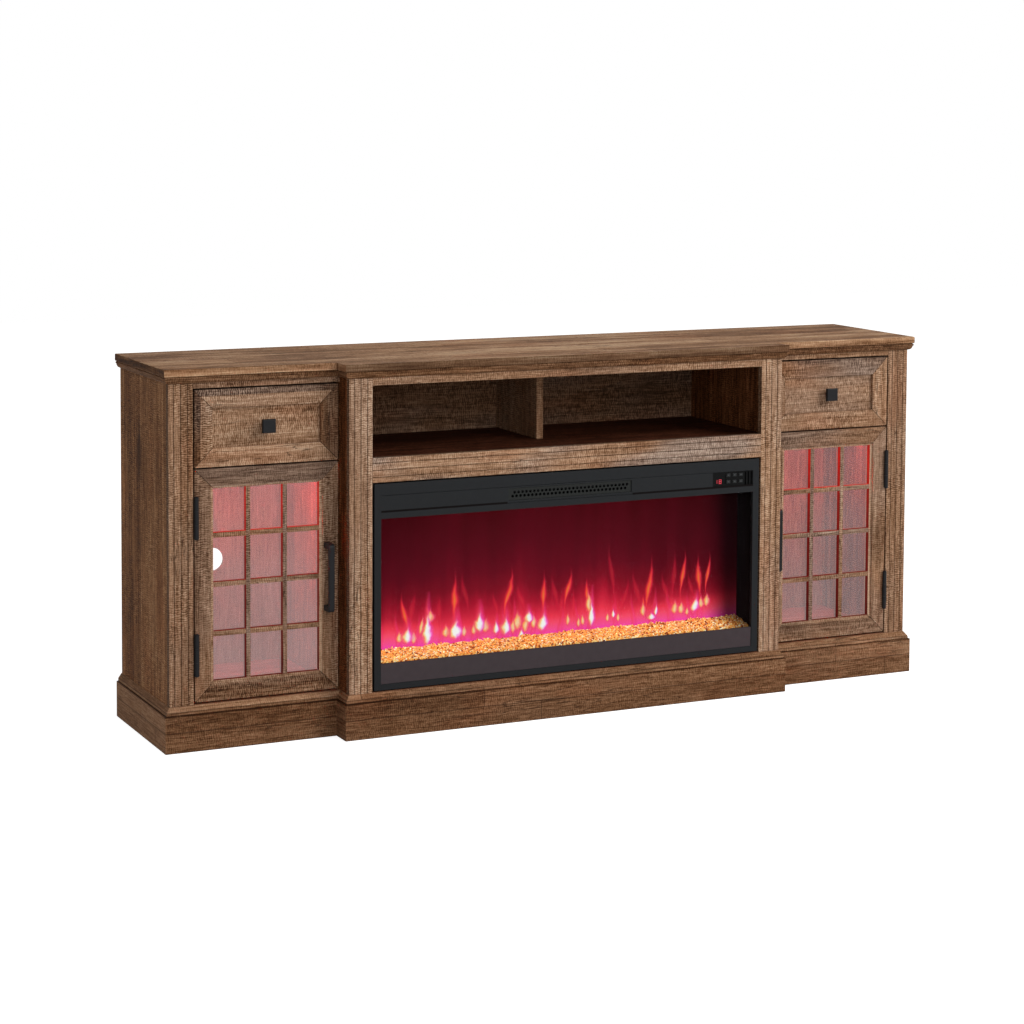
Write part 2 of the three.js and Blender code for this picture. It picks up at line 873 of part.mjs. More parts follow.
function drawer(side, sign) {
  const group = new THREE.Group();
  const wide = across(sign, doorInner, doorOuter);
  group.add(drawerFront(side, wide, [drawerLow, drawerHigh]));
  group.add(drawerBox(side, sign));
  group.add(drawerKnob(side, sign));
  return group;
}

// The fire's pieces stand in the fire's own frame: y from its face, z from its bezel's lower edge.
function bezel() {
  const view = [about(0, viewHalf), [bezelSill, viewTop]];
  const outlet = [about(grilleShift, grilleHalf), [bandLow + grilleUp, bandLow + grilleUp + grilleHeight]];
  const control = [
    [viewHalf - controlWidth, viewHalf],
    [bandLow, crease],
  ];
  const groove = (z) =>
    bar(
      new THREE.Shape([
        new THREE.Vector2(-cutOver, z - creaseWidth / 2),
        new THREE.Vector2(0, z - creaseWidth / 2),
        new THREE.Vector2(creaseDepth, z),
        new THREE.Vector2(0, z + creaseWidth / 2),
        new THREE.Vector2(-cutOver, z + creaseWidth / 2),
      ]),
      [-viewHalf, viewHalf - controlWidth],
    );
  const body = pierced(about(0, fireHalf), [0, bezelThick], [0, fireHeight], [view, outlet, control]);
  return piece("fire_bezel", built(body, [], [groove(bandLow), groove(crease)]), blackSteel);
}

// The case: a sheet-metal tray with a firebox below, a heater bay above, feet and a mains inlet.
function fireCase() {
  const half = cavityHalf + caseWall;
  const mouth = glassFront - cutOver;
  const rear = caseBack - caseWall;
  const shell = block(about(0, half), [glassFront, caseBack], [caseFootUp, caseHigh]);
  const bayHigh = [cavityHigh + caseDeck, caseHigh - caseWall];
  const web = grilleHalf + webThick;
  const cavities = [
    block(about(0, cavityHalf), [mouth, rear], [cavityLow, cavityHigh]),
    block([-cavityHalf, grilleShift - web], [mouth, rear], bayHigh),
    block(about(grilleShift, grilleHalf), [mouth, rear], bayHigh),
    block([grilleShift + web, cavityHalf], [mouth, rear], bayHigh),
  ];
  const feet = [-1, 1].flatMap((end) =>
    [glassFront + caseFootFront, caseBack - caseFootFront].map((y) =>
      block(
        about(end * (half - caseFootInset), caseFootHalf),
        about(y, caseFootHalf),
        [seam - fireGap, caseFootUp + caseWall],
      ),
    ),
  );
  const inlet = block(
    about(inletMiddle, inletWidth / 2),
    [caseBack - caseWall, caseBack + inletDepth],
    about(caseFootUp + inletUp, inletHeight / 2),
  );
  return piece("fire_case", built(shell, [...feet, inlet], cavities), galvanised);
}

function fireGlass() {
  const upright = [bezelSill - fireGlassLap, viewTop + fireGlassLap];
  return board("fire_glass", about(0, glassHalf), [glassFront, glassBack], upright, smokedGlass);
}

function flameScreen() {
  return board(
    "flame_screen",
    about(0, cavityHalf - casePlay),
    [screenBack, screenBack + screenThick],
    [cavityLow + casePlay, cavityHigh - casePlay],
    screenFinish,
  );
}

// Crushed glass heaped against the flame screen: a bed with an uneven top.
function emberBed() {
  const half = cavityHalf - casePlay;
  const front = glassBack + emberGap;
  const back = screenBack - casePlay;
  const floor = cavityLow + casePlay;
  const geometry = new THREE.BoxGeometry(2 * half, back - front, emberRear, emberColumns, emberRows);
  const place = geometry.attributes.position;
  for (let i = 0; i < place.count; i += 1) {
    const x = place.getX(i);
    const y = place.getY(i) + (front + back) / 2;
    const column = Math.round((x / half + 1) * (emberColumns / 2));
    const rowShare = (y - front) / (back - front);
    const row = Math.round(rowShare * emberRows);
    const bump = Math.sin(column * 2.4 + row * 1.7) + Math.sin(column * 4.1 - row * 2.9);
    const top = emberFront + (emberRear - emberFront) * rowShare + (emberBump * bump) / 2;
    place.setXYZ(i, x, y, place.getZ(i) > 0 ? top : floor);
  }
  return piece("ember_bed", geometry, emberGlass);
}

// A wheel of radial blades between two end discs, on an axle that reaches the webs of the case.
function blowerWheel() {
  const pitch = (2 * Math.PI) / blowerBlades;
  const outline = [];
  for (let i = 0; i < blowerBlades; i += 1) {
    const start = i * pitch;
    const end = start + pitch * blowerBladeShare;
    [
      [blowerHub, start],
      [blowerRadius, start],
      [blowerRadius, end],
      [blowerHub, end],
    ].forEach(([radius, angle]) => {
      outline.push(new THREE.Vector2(radius * Math.cos(angle), radius * Math.sin(angle)));
    });
  }
  const disc = new THREE.Shape().absarc(0, 0, blowerRadius, 0, 2 * Math.PI);
  const axle = new THREE.Shape().absarc(0, 0, rotorShaft, 0, 2 * Math.PI);
  const reach = grilleHalf - seam;
  const span = reach - 2 * blowerDisc;
  const geometry = built(bar(new THREE.Shape(outline), about(0, span - blowerDisc / 2)), [
    bar(disc, [-span, blowerDisc - span]),
    bar(disc, [span - blowerDisc, span]),
    bar(axle, about(0, reach)),
  ]);
  const mesh = piece("blower_wheel", geometry, bareMetal);
  const bayMiddle = (cavityHigh + caseDeck + caseHigh - caseWall) / 2;
  mesh.position.set(grilleShift, blowerBack, bayMiddle);
  return mesh;
}

// The spindle behind the flame screen, whose polished vanes throw moving light on it.
function flameRotor() {
  const reach = cavityHalf - seam;
  const shaft = bar(new THREE.Shape().absarc(0, 0, rotorShaft, 0, 2 * Math.PI), about(0, reach));
  const pitch = (2 * (reach - rotorVane)) / rotorVanes;
  const vanes = Array.from({ length: rotorVanes }, (_, i) => {
    const x = (i - (rotorVanes - 1) / 2) * pitch;
    const vane = block(about(0, rotorVaneWidth / 2), about(0, rotorVaneThick / 2), about(0, rotorVane));
    return vane.rotateX((i * Math.PI) / (rotorVanes / 2)).translate(x, 0, 0);
  });
  const mesh = piece("flame_rotor", built(shaft, vanes), bareMetal);
  mesh.position.set(0, rotorBack, rotorUp);
  return mesh;
}

// The outlet's mesh: a thin plate with rows of six-sided holes.
function grille() {
  const high = [bandLow + grilleUp + seam, bandLow + grilleUp + grilleHeight - seam];
  const wide = about(grilleShift, grilleHalf - seam);
  const shape = rectangle(wide, high);
  const rowPitch = hexPitch * Math.cos(Math.PI / 6);
  const clear = hexRadius + hexMargin;
  const rows = Math.floor((high[1] - high[0] - 2 * clear) / rowPitch) + 1;
  const columns = Math.floor((wide[1] - wide[0] - 2 * clear - hexPitch / 2) / hexPitch) + 1;
  for (let row = 0; row < rows; row += 1) {
    for (let column = 0; column < columns; column += 1) {
      const stagger = ((row % 2) - 1 / 2) * (hexPitch / 2);
      const x = grilleShift + (column - (columns - 1) / 2) * hexPitch + stagger;
      const z = (high[0] + high[1]) / 2 + (row - (rows - 1) / 2) * rowPitch;
      const corners = Array.from({ length: 6 }, (_, i) => {
        const angle = (i * Math.PI) / 3 + Math.PI / 6;
        return new THREE.Vector2(x + hexRadius * Math.cos(angle), z + hexRadius * Math.sin(angle));
      });
      shape.holes.push(new THREE.Path(corners));
    }
  }
  return piece("heater_grille", plate(shape, grilleSetback, grilleSetback + grilleThick), meshSteel);
}

const controlLeft = viewHalf - controlWidth + seam;
const controlMiddle = bandLow + bandLower / 2;

// Middles of the six buttons, row by row from the top left.
function buttonPlaces() {
  const places = [];
  for (let row = 0; row < buttonRows; row += 1) {
    for (let column = 0; column < buttonColumns; column += 1) {
      const z = controlMiddle + buttonRaise + ((buttonRows - 1) / 2 - row) * buttonRowPitch;
      places.push([controlLeft + buttonFrom + column * buttonPitch, z]);
    }
  }
  return places;
}

// The control panel: button holes, a sunk display window and upright slots.
function controlPanel() {
  const high = [bandLow + seam, crease - seam];
  const holes = buttonPlaces().map(([x, z]) => [
    about(x, buttonWidth / 2 + buttonPlay),
    about(z, buttonHeight / 2 + buttonPlay),
  ]);
  const front = controlSetback - cutOver;
  const window = block(
    [controlLeft + displayFrom, controlLeft + displayFrom + displayWidth],
    [front, controlSetback + displayDepth],
    about(controlMiddle, displayHeight / 2),
  );
  const slots = Array.from({ length: ribSlots }, (_, i) => {
    const start = controlLeft + ribFrom + i * ribPitch;
    const tall = [high[0] + ribMargin, high[1] - ribMargin];
    return block([start, start + ribSlot], [front, controlSetback + ribDepth], tall);
  });
  const deep = [controlSetback, controlSetback + controlThick];
  const body = pierced([controlLeft, viewHalf - seam], deep, high, holes);
  return piece("control_panel", built(body, [], [window, ...slots]), blackPlastic);
}

// A push button: a cap through its hole, with a flange behind the panel that holds it in.
function controlButton(index, [x, z]) {
  const behind = controlSetback + controlThick + seam;
  const cap = block(
    about(0, buttonWidth / 2),
    [controlSetback - buttonProud, behind + buttonFlange / 2],
    about(0, buttonHeight / 2),
  );
  const flange = block(
    about(0, buttonWidth / 2 + buttonFlangeOut),
    [behind, behind + buttonFlange],
    about(0, buttonHeight / 2 + buttonFlangeOut),
  );
  const mesh = piece(`control_button_${index + 1}`, built(cap, [flange]), keyPlastic);
  mesh.position.set(x, 0, z);
  return mesh;
}

function fire() {
  const group = new THREE.Group();
  group.position.set(0, centreY, plinthHeight + fireGap);
  group.add(bezel(), fireCase(), fireGlass(), flameScreen(), emberBed());
  group.add(flameRotor(), blowerWheel(), grille(), controlPanel());
  buttonPlaces().forEach((place, index) => group.add(controlButton(index, place)));
  return group;
}

const stand = new THREE.Group();
stand.add(topBoard(), cornice(), plinth(), basePanel(), centreRail());
stand.add(...friezes(), ...niche(), ...backPanels(), fire());
sides.forEach(([side, sign]) => {
  const outerMiddle = sign * (bodyHalf - reedWidth / 2);
  const innerMiddle = sign * (centreHalf - reedWidth / 2);
  stand.add(outerSide(side, sign), innerSide(side, sign));
  stand.add(pilaster(`${side}_outer_pilaster`, outerMiddle, sideY));
  stand.add(pilaster(`${side}_centre_pilaster`, innerMiddle, centreY));
  stand.add(drawerDeck(side, sign), ledStrip(side, sign));
  stand.add(...door(side, sign), drawer(side, sign));
});

export default stand;
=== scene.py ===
"""Looks of the fireplace TV stand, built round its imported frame. Metres; the front faces -Y."""

import math
import random

import bmesh
import bpy
from mathutils import Matrix, Vector


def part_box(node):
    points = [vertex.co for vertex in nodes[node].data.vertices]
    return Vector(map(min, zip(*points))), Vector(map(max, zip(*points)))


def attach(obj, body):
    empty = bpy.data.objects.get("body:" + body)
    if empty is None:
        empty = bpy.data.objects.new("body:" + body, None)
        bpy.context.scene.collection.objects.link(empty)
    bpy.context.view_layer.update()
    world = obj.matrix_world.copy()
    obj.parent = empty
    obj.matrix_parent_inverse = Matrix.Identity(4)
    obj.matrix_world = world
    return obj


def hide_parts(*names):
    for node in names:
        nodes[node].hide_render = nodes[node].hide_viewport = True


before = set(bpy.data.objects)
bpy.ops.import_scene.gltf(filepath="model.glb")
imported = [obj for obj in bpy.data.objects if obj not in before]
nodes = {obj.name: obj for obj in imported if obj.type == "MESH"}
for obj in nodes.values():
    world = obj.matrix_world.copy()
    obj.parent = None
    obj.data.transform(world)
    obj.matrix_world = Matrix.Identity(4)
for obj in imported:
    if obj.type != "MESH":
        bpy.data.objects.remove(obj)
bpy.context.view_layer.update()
MM = 0.001
SIDES = ("left", "right")

# Faces and edges that several pieces share, read from the frame
SIDE_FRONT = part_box("left_outer_pilaster")[0].y
CENTRE_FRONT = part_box("left_centre_pilaster")[0].y
PLINTH_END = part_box("plinth")[0].x
FIRE_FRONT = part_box("fire_bezel")[0].y
FIRE_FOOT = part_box("fire_bezel")[0].z
SCREEN_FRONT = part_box("flame_screen")[0].y
BED_LOW, BED_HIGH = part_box("ember_bed")
GLASS_LOW, GLASS_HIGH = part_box("fire_glass")

# Doors and drawer fronts
DOOR_FACE = 34 * MM
DOOR_STEP = 5 * MM
PANE_BORDER = 6.5 * MM
GRID_THICK = 11.5 * MM
GLASS_SLOT = 3.6 * MM
MUNTIN_WIDE = 9.5 * MM
MUNTIN_HIGH = 10.5 * MM
MUNTIN_BACKSET = 0.4 * MM
PANES_ACROSS, PANES_UP = 3, 4
DRAWER_FACE = 38 * MM
DRAWER_RECESS = 8 * MM
MITRE_GAP = 0.5 * MM
BUTTONS = range(1, 7)

# Eased edges, from boards down to thin metal, and how deep grain and paint texture are pressed
EDGE = 0.8 * MM
SMALL_EDGE = 0.5 * MM
FINE_EDGE = 0.3 * MM
GRAIN_RELIEF = 0.6 * MM
FAINT_RELIEF = 0.1 * MM
GRIT = 0.06 * MM

# Strength of the lit strips, of the painted glow on the panes' haze that stands for their light, and of the
# flames
LED_STRENGTH = 150.0
HAZE_GLOW = 0.95
FLAME_GLOW = 1.12

# For each lie of grain: the axis along it and the one across it, then the same two on a board's ends
GRAIN_AXES = {
    "level": ((1, 0, 0), (0, 0, 1), (0, 1, 0), (0, 0, 1)),
    "flat": ((1, 0, 0), (0, 1, 0), (0, 1, 0), (0, 0, 1)),
    "upright": ((0, 0, 1), (1, 0, 0), (1, 0, 0), (0, 1, 0)),
    "side": ((0, 0, 1), (0, 1, 0), (0, 1, 0), (1, 0, 0)),
    "deep": ((0, 1, 0), (1, 0, 0), (1, 0, 0), (0, 0, 1)),
}

# Stops of colour as (position, red, green, blue); the dark stain of knots, also laid as painted shade in cut
# grooves; and the dark stains of cracks and of seams between planks
WOOD_TONES = [
    (0.0, 0.026, 0.010, 0.004), (0.25, 0.092, 0.042, 0.019), (0.5, 0.205, 0.108, 0.058),
    (0.75, 0.335, 0.198, 0.118), (1.0, 0.500, 0.340, 0.225),
]
KNOT_STAIN_AND_SHADE = (0.030, 0.013, 0.007)
CRACK_STAIN = (0.025, 0.011, 0.006)
SEAM_STAIN = (0.025, 0.012, 0.007)


# Node building


def step(operation):
    """A method that adds the node of one operation on its values."""
    return lambda *values: calc(operation, *values)


class Signal:
    """A shader value that takes plain sums: each step adds a node to the tree that it comes from."""

    def __init__(self, socket):
        self.socket, self.tree = socket, socket.id_data

    def __rsub__(self, other):
        return calc("SUBTRACT", other, self)

    __add__, __sub__, __mul__, __truediv__ = map(step, ("ADD", "SUBTRACT", "MULTIPLY", "DIVIDE"))
    __gt__, __lt__, __abs__ = map(step, ("GREATER_THAN", "LESS_THAN", "ABSOLUTE"))


def plug(node, inputs):
    """Sets a node's inputs, each to a value or to another node's signal."""
    for name, value in inputs.items():
        if isinstance(value, Signal):
            value.tree.links.new(value.socket, node.inputs[name])
        else:
            node.inputs[name].default_value = value


def wire(tree, kind, inputs=None, **settings):
    """A shader node with its settings and its inputs."""
    node = tree.nodes.new(kind)
    for name, value in settings.items():
        setattr(node, name, value)
    plug(node, inputs or {})
    return node


def results(node):
    return {output.name: Signal(output) for output in node.outputs}


def tree_of(*values):
    """The tree of the first signal among some values."""
    return next(value.tree for value in values if isinstance(value, Signal))


def calc(operation, *values, clamp=False):
    inputs = dict(enumerate(values))
    node = wire(tree_of(*values), "ShaderNodeMath", inputs, operation=operation, use_clamp=clamp)
    return Signal(node.outputs[0])


def vector_calc(operation, *values):
    node = wire(tree_of(*values), "ShaderNodeVectorMath", dict(enumerate(values)), operation=operation)
    return results(node)["Value" if operation in ("DOT_PRODUCT", "DISTANCE") else "Vector"]


def coordinates(tree):
    return results(tree.nodes.new("ShaderNodeTexCoord"))


def combined(x, y, z):
    node = wire(tree_of(x, y, z), "ShaderNodeCombineXYZ", {0: x, 1: y, 2: z})
    return Signal(node.outputs[0])


def axes_of(vector):
    return results(wire(vector.tree, "ShaderNodeSeparateXYZ", {0: vector}))


def noise(place, scale=1.0, detail=2.0, roughness=0.5):
    inputs = {"Vector": place, "Scale": scale, "Detail": detail, "Roughness": roughness}
    return results(wire(place.tree, "ShaderNodeTexNoise", inputs))["Fac"]


def chance(place):
    """A value from 0 to 1 picked for each place."""
    node = wire(place.tree, "ShaderNodeTexWhiteNoise", {"Vector": place}, noise_dimensions="3D")
    return results(node)["Value"]


def cells(place, scale=1.0):
    """A cell pattern: how far a point is from its cell's middle, and two values picked for the cell."""
    cell = results(wire(place.tree, "ShaderNodeTexVoronoi", {"Vector": place, "Scale": scale}))
    picked = results(wire(place.tree, "ShaderNodeSeparateColor", {0: cell["Color"]}))
    return cell["Distance"], picked["Red"], picked["Green"]


def stretched(place, along, across):
    return vector_calc("MULTIPLY", place, (along, across, across))


def between(value, low, high, to_low=0.0, to_high=1.0):
    """The value carried from one range to another, smoothly, and kept inside it."""
    inputs = {"Value": value, "From Min": low, "From Max": high, "To Min": to_low, "To Max": to_high}
    return results(wire(value.tree, "ShaderNodeMapRange", inputs, interpolation_type="SMOOTHSTEP"))["Result"]


def ramp(value, stops, smoothing="LINEAR"):
    node = wire(value.tree, "ShaderNodeValToRGB", {"Fac": value})
    node.color_ramp.interpolation = smoothing
    marks = node.color_ramp.elements
    while len(marks) < len(stops):
        marks.new(0.5)
    for mark, (position, *color) in zip(marks, stops):
        mark.position, mark.color = position, (*color, 1.0)
    return results(node)["Color"]


def tinted(value, low, high):
    """A colour that goes from one to another as the value goes from 0 to 1."""
    return ramp(value, [(0.0, *low), (1.0, *high)])


def graph(value, points):
    """A smooth line by hand-set points, each (value, height)."""
    return ramp(value, [(at, height, height, height) for at, height in points], "B_SPLINE")


def blended(amount, first, second, blend="MIX"):
    node = wire(tree_of(first, second), "ShaderNodeMix", {0: amount}, data_type="RGBA", blend_type=blend)
    plug(node, {i: c if isinstance(c, Signal) else (*c, 1.0) for i, c in ((6, first), (7, second))})
    return Signal(node.outputs[2])


def dimmed(color, share):
    """A colour times a value."""
    grey = wire(share.tree, "ShaderNodeCombineColor", {0: share, 1: share, 2: share})
    return blended(1.0, color, Signal(grey.outputs[0]), "MULTIPLY")


def effect(name, inputs):
    """A shared node group with named inputs: its tree and what comes in."""
    tree = bpy.data.node_groups.new(name, "ShaderNodeTree")
    for label, default in inputs.items():
        kind = "NodeSocketVector" if isinstance(default, tuple) else "NodeSocketFloat"
        tree.interface.new_socket(label, in_out="INPUT", socket_type=kind).default_value = default
    return tree, results(tree.nodes.new("NodeGroupInput"))


def delivered(tree, outputs):
    """The effect's tree with its named outputs, each of the kind of its signal."""
    kinds = {"VALUE": "NodeSocketFloat", "VECTOR": "NodeSocketVector", "RGBA": "NodeSocketColor"}
    for label, value in outputs.items():
        tree.interface.new_socket(label, in_out="OUTPUT", socket_type=kinds[value.socket.type])
    plug(tree.nodes.new("NodeGroupOutput"), outputs)
    return tree


def placed(tree, group, **inputs):
    """A shared effect set into a material with its own values."""
    return results(wire(tree, "ShaderNodeGroup", inputs, node_tree=group))


# Shared effects


def lie_of_grain():
    """Where a point is along, across and deep in a board. A board's ends take the print of its other pair."""
    inputs = {"Along": (1.0, 0.0, 0.0), "Across": (0.0, 0.0, 1.0)}
    inputs |= {"End Along": (0.0, 1.0, 0.0), "End Across": (0.0, 0.0, 1.0), "Seed": 0.0}
    tree, given = effect("lie_of_grain", inputs)
    here = coordinates(tree)
    facing_end = abs(vector_calc("DOT_PRODUCT", here["Normal"], given["Along"])) > 0.75

    def place_on(usual, on_end):
        choice = {0: facing_end, 4: given[usual], 5: given[on_end]}
        picked = Signal(wire(tree, "ShaderNodeMix", choice, data_type="VECTOR").outputs[1])
        return vector_calc("DOT_PRODUCT", here["Object"], picked)

    along, across = place_on("Along", "End Along"), place_on("Across", "End Across")
    total = vector_calc("DOT_PRODUCT", here["Object"], (1.0, 1.0, 1.0))
    return delivered(tree, {"Place": combined(along, across, total - along - across + given["Seed"])})


def plank_print():
    """Printed planks: a tone for each plank and a fine dark line where two meet."""
    inputs = {"Place": (0.0, 0.0, 0.0), "Width": 0.1, "Length": 1.0, "Start": 0.0, "Seed": 0.0}
    tree, given = effect("plank_print", inputs)
    place = axes_of(given["Place"])
    across = (place["Y"] - given["Start"]) / given["Width"]
    row = calc("FLOOR", across)
    shift = chance(combined(row, given["Seed"], 0.0)) * 5.0
    along = place["X"] / given["Length"] + shift
    tone = chance(combined(row, calc("FLOOR", along), given["Seed"]))

    def seam(share, size):
        to_seam = (0.5 - abs(calc("FRACT", share) - 0.5)) * size
        return between(to_seam, 0.4 * MM, 1.6 * MM, 1.0, 0.0)

    lines = calc("MAXIMUM", seam(across, given["Width"]), seam(along, given["Length"]))
    return delivered(tree, {"Tone": tone - 0.5, "Line": lines})


def rustic_grain():
    """Sawn rustic wood: streaks, cross saw marks, warm and grey patches, knots and cracks."""
    inputs = {"Place": (0.0, 0.0, 0.0), "Tone": 0.0, "Grey": 0.3, "Saw": 0.5, "Knots": 0.5, "Bands": 1.0}
    tree, given = effect("rustic_grain", inputs)
    place = given["Place"]
    sway = noise(stretched(place, 5, 12)) * 0.012
    shifted = vector_calc("ADD", place, combined(0.0, sway, 0.0))
    streak = noise(stretched(shifted, 1.6, 62), detail=5, roughness=0.7)
    fibre = noise(stretched(shifted, 22, 400), roughness=0.6)
    speck = noise(place, 330.0, roughness=0.6)
    patch = noise(stretched(place, 4.2, 13), detail=3, roughness=0.6)
    grey_patch = noise(stretched(place, 3.1, 10))
    red_patch = noise(stretched(place, 5.3, 15))

    phase = noise(stretched(place, 24, 75), detail=1) * 14.0
    stroke = calc("SINE", axes_of(place)["X"] * 1366.0 + phase)
    saw = noise(stretched(place, 270, 105), roughness=0.6) * 0.7 + 0.15 + stroke * 0.085
    saw_where = between(noise(stretched(place, 9, 22)), 0.35, 0.62, 0.4, 1.0)
    marks = between(saw, 0.3, 0.7, -0.6, 0.6) * saw_where * given["Saw"]

    from_middle, picked, _ = cells(stretched(shifted, 3.1, 9.5))
    knot = between(from_middle, 0.06, 0.27, 1.0, 0.0) * (picked > 0.55) * given["Knots"]
    off_vein = abs(noise(stretched(shifted, 5, 60), detail=3) - 0.52)
    crack = between(off_vein, 0.0, 0.014, 1.0, 0.0) * between(patch, 0.5, 0.62)

    broad = (streak * 0.8 + patch * 0.42 - 0.61) * given["Bands"]
    fine = fibre * 0.9 - 0.45 + speck * 0.5 - 0.25
    color = ramp(broad + fine + given["Tone"] + marks + 0.5, WOOD_TONES)
    dulling = {"Saturation": 0.62, "Value": 0.84, "Color": color}
    dull = results(wire(tree, "ShaderNodeHueSaturation", dulling))["Color"]
    color = blended(between(grey_patch, 0.38, 0.62) * given["Grey"], color, dull)
    color = blended(between(red_patch, 0.5, 0.72, 0.0, 0.6), color, (1.0, 0.84, 0.76), "MULTIPLY")
    color = blended(knot * 0.8, color, KNOT_STAIN_AND_SHADE)
    color = blended(crack * 0.75, color, CRACK_STAIN)
    outputs = {"Color": color, "Roughness": fibre * 0.2 + 0.58, "Height": fibre * 0.5 + marks - crack}
    return delivered(tree, outputs)


def groove_shade():
    """Painted shade in cut grooves: how far a point lies behind the board's face, as a mask."""
    tree, given = effect("groove_shade", {"Face": 0.0, "Depth": 1.2 * MM})
    place = coordinates(tree)["Object"]
    reach = (axes_of(place)["Y"] - given["Face"]) / given["Depth"]
    ragged = between(noise(place, 260.0), 0.3, 0.6, 0.35, 1.0)
    return delivered(tree, {"Mask": between(reach, 0.1, 0.8) * ragged})


def handled_wear():
    """Faint smudges and fine scratches on painted and moulded surfaces."""
    tree, given = effect("handled_wear", {"Scale": 60.0, "Amount": 0.1})
    place = coordinates(tree)["Object"]
    smudge = (noise(place, given["Scale"], detail=3) - 0.5) * given["Amount"]
    outputs = {"Shade": smudge + 1.0, "Roughness": smudge, "Height": noise(place, 1400.0, detail=1)}
    return delivered(tree, outputs)


def shut_door():
    """How near a door is to being shut, from how far a point has swung from its place: 1 when shut."""
    tree, _ = effect("shut_door", {})
    now = results(tree.nodes.new("ShaderNodeNewGeometry"))["Position"]
    swung = vector_calc("DISTANCE", now, coordinates(tree)["Object"])
    return delivered(tree, {"Mask": between(swung, 10 * MM, 120 * MM, 1.0, 0.0)})


def caught_glow():
    """Red light of the lit strip on the reveals of a door's panes, stronger near the top.

    It fades as the door swings away from the strip.
    """
    inputs = dict.fromkeys(("Left", "Right", "Low", "High", "Front"), 0.0)
    tree, given = effect("caught_glow", inputs)
    here = coordinates(tree)
    at, turned = axes_of(here["Object"]), axes_of(here["Normal"])
    mask = calc("MAXIMUM", abs(turned["X"]) > 0.7, (turned["Z"] > 0.7) * 1.3)
    mask = mask * (at["X"] > given["Left"]) * (at["X"] < given["Right"])
    mask = mask * (at["Z"] > given["Low"]) * (at["Z"] < given["High"]) * (at["Y"] > given["Front"])
    mask = mask * placed(tree, SHUT_DOOR)["Mask"]
    share = calc("DIVIDE", at["Z"] - given["Low"], given["High"] - given["Low"], clamp=True)
    uneven = noise(here["Object"], 24.0) * 0.3 - 0.15
    share = calc("ADD", share, uneven, clamp=True)
    glow = ramp(share, [(0.0, 0.055, 0.002, 0.002), (0.5, 0.12, 0.0035, 0.0035), (1.0, 0.38, 0.010, 0.007)])
    return delivered(tree, {"Color": dimmed(glow, mask), "Mask": calc("MINIMUM", mask, 1.0)})


LIE_OF_GRAIN = lie_of_grain()
PLANK_PRINT = plank_print()
RUSTIC_GRAIN = rustic_grain()
GROOVE_SHADE = groove_shade()
HANDLED_WEAR = handled_wear()
SHUT_DOOR = shut_door()
CAUGHT_GLOW = caught_glow()


# Finishes


def finish(name):
    """A new material with its tree and its shader."""
    material = bpy.data.materials.new(name)
    material.use_nodes = True
    tree = material.node_tree
    return material, tree, tree.nodes["Principled BSDF"]


def glowing_softly(material):
    """A glow too weak to be worth sampling as a lamp."""
    material.cycles.emission_sampling = "NONE"
    return material


def raised(shader, height, depth):
    bump = wire(height.tree, "ShaderNodeBump", {"Height": height, "Distance": depth, "Strength": 1.0})
    plug(shader, {"Normal": results(bump)["Normal"]})


def wood(
    name, lie, seed, tone, grey, saw, knots=0.5, tint=None, planks=None, strips=(), face=None, glow=None,
    spread=(1.0, 1.0, 1.0), bands=1.0, relief=GRAIN_RELIEF,
):
    """A wood finish.

    tint is a colour laid over the grain. planks is (width, length, start, contrast) of printed planks,
    face is the front of a board with cut grooves that get painted shade, and glow is the door opening
    whose reveals catch the red light. Each of strips is (limits, tone, grey) of a part toned otherwise,
    some as painted light or shade, with each limit an (axis, from, to). spread stretches the grain, bands
    strengthens its broad streaks and relief is how deep it is pressed.
    """
    material, tree, shader = finish(name)
    axes = dict(zip(("Along", "Across", "End Along", "End Across"), GRAIN_AXES[lie]))
    place = placed(tree, LIE_OF_GRAIN, **axes, Seed=seed)["Place"]
    if planks:
        width, length, start, contrast = planks
        plank = placed(tree, PLANK_PRINT, Place=place, Width=width, Length=length, Start=start, Seed=seed)
        tone = plank["Tone"] * contrast + tone
    for limits, strip_tone, strip_grey in strips:
        at = axes_of(coordinates(tree)["Object"])
        share, *others = [between(at[axis], low, high) for axis, low, high in limits]
        for other in others:
            share = share * other
        tone = share * strip_tone + tone
        grey = share * strip_grey + grey
    place = vector_calc("MULTIPLY", place, spread)
    grain = placed(tree, RUSTIC_GRAIN, Place=place, Tone=tone, Grey=grey, Saw=saw, Knots=knots, Bands=bands)
    color = blended(1.0, grain["Color"], tint, "MULTIPLY") if tint else grain["Color"]
    if planks:
        color = blended(plank["Line"] * 0.6, color, SEAM_STAIN)
    # Painted shade darkens the cut grooves behind the face.
    if face is not None:
        color = blended(placed(tree, GROOVE_SHADE, Face=face)["Mask"] * 0.72, color, KNOT_STAIN_AND_SHADE)
    # On the reveals the red light of the lit strip is painted as a glow, and their own colour is darkened
    # under it.
    if glow:
        caught = placed(tree, CAUGHT_GLOW, **glow)
        color = blended(caught["Mask"] * 0.9, color, (0.020, 0.002, 0.002))
        plug(shader, {"Emission Color": caught["Color"], "Emission Strength": 1.0})
    plug(shader, {"Base Color": color, "Roughness": grain["Roughness"], "Specular IOR Level": 0.03})
    raised(shader, grain["Height"], relief)
    return material


def painted(name, color, roughness, metallic=0.0, wear=0.25, gloss=0.2):
    """Painted metal or moulded plastic, with faint handling marks and a fine texture."""
    material, tree, shader = finish(name)
    marks = placed(tree, HANDLED_WEAR, Amount=wear)
    plug(shader, {"Base Color": dimmed(color, marks["Shade"]), "Roughness": marks["Roughness"] + roughness})
    plug(shader, {"Metallic": metallic, "Specular IOR Level": gloss})
    raised(shader, marks["Height"], GRIT)
    return material


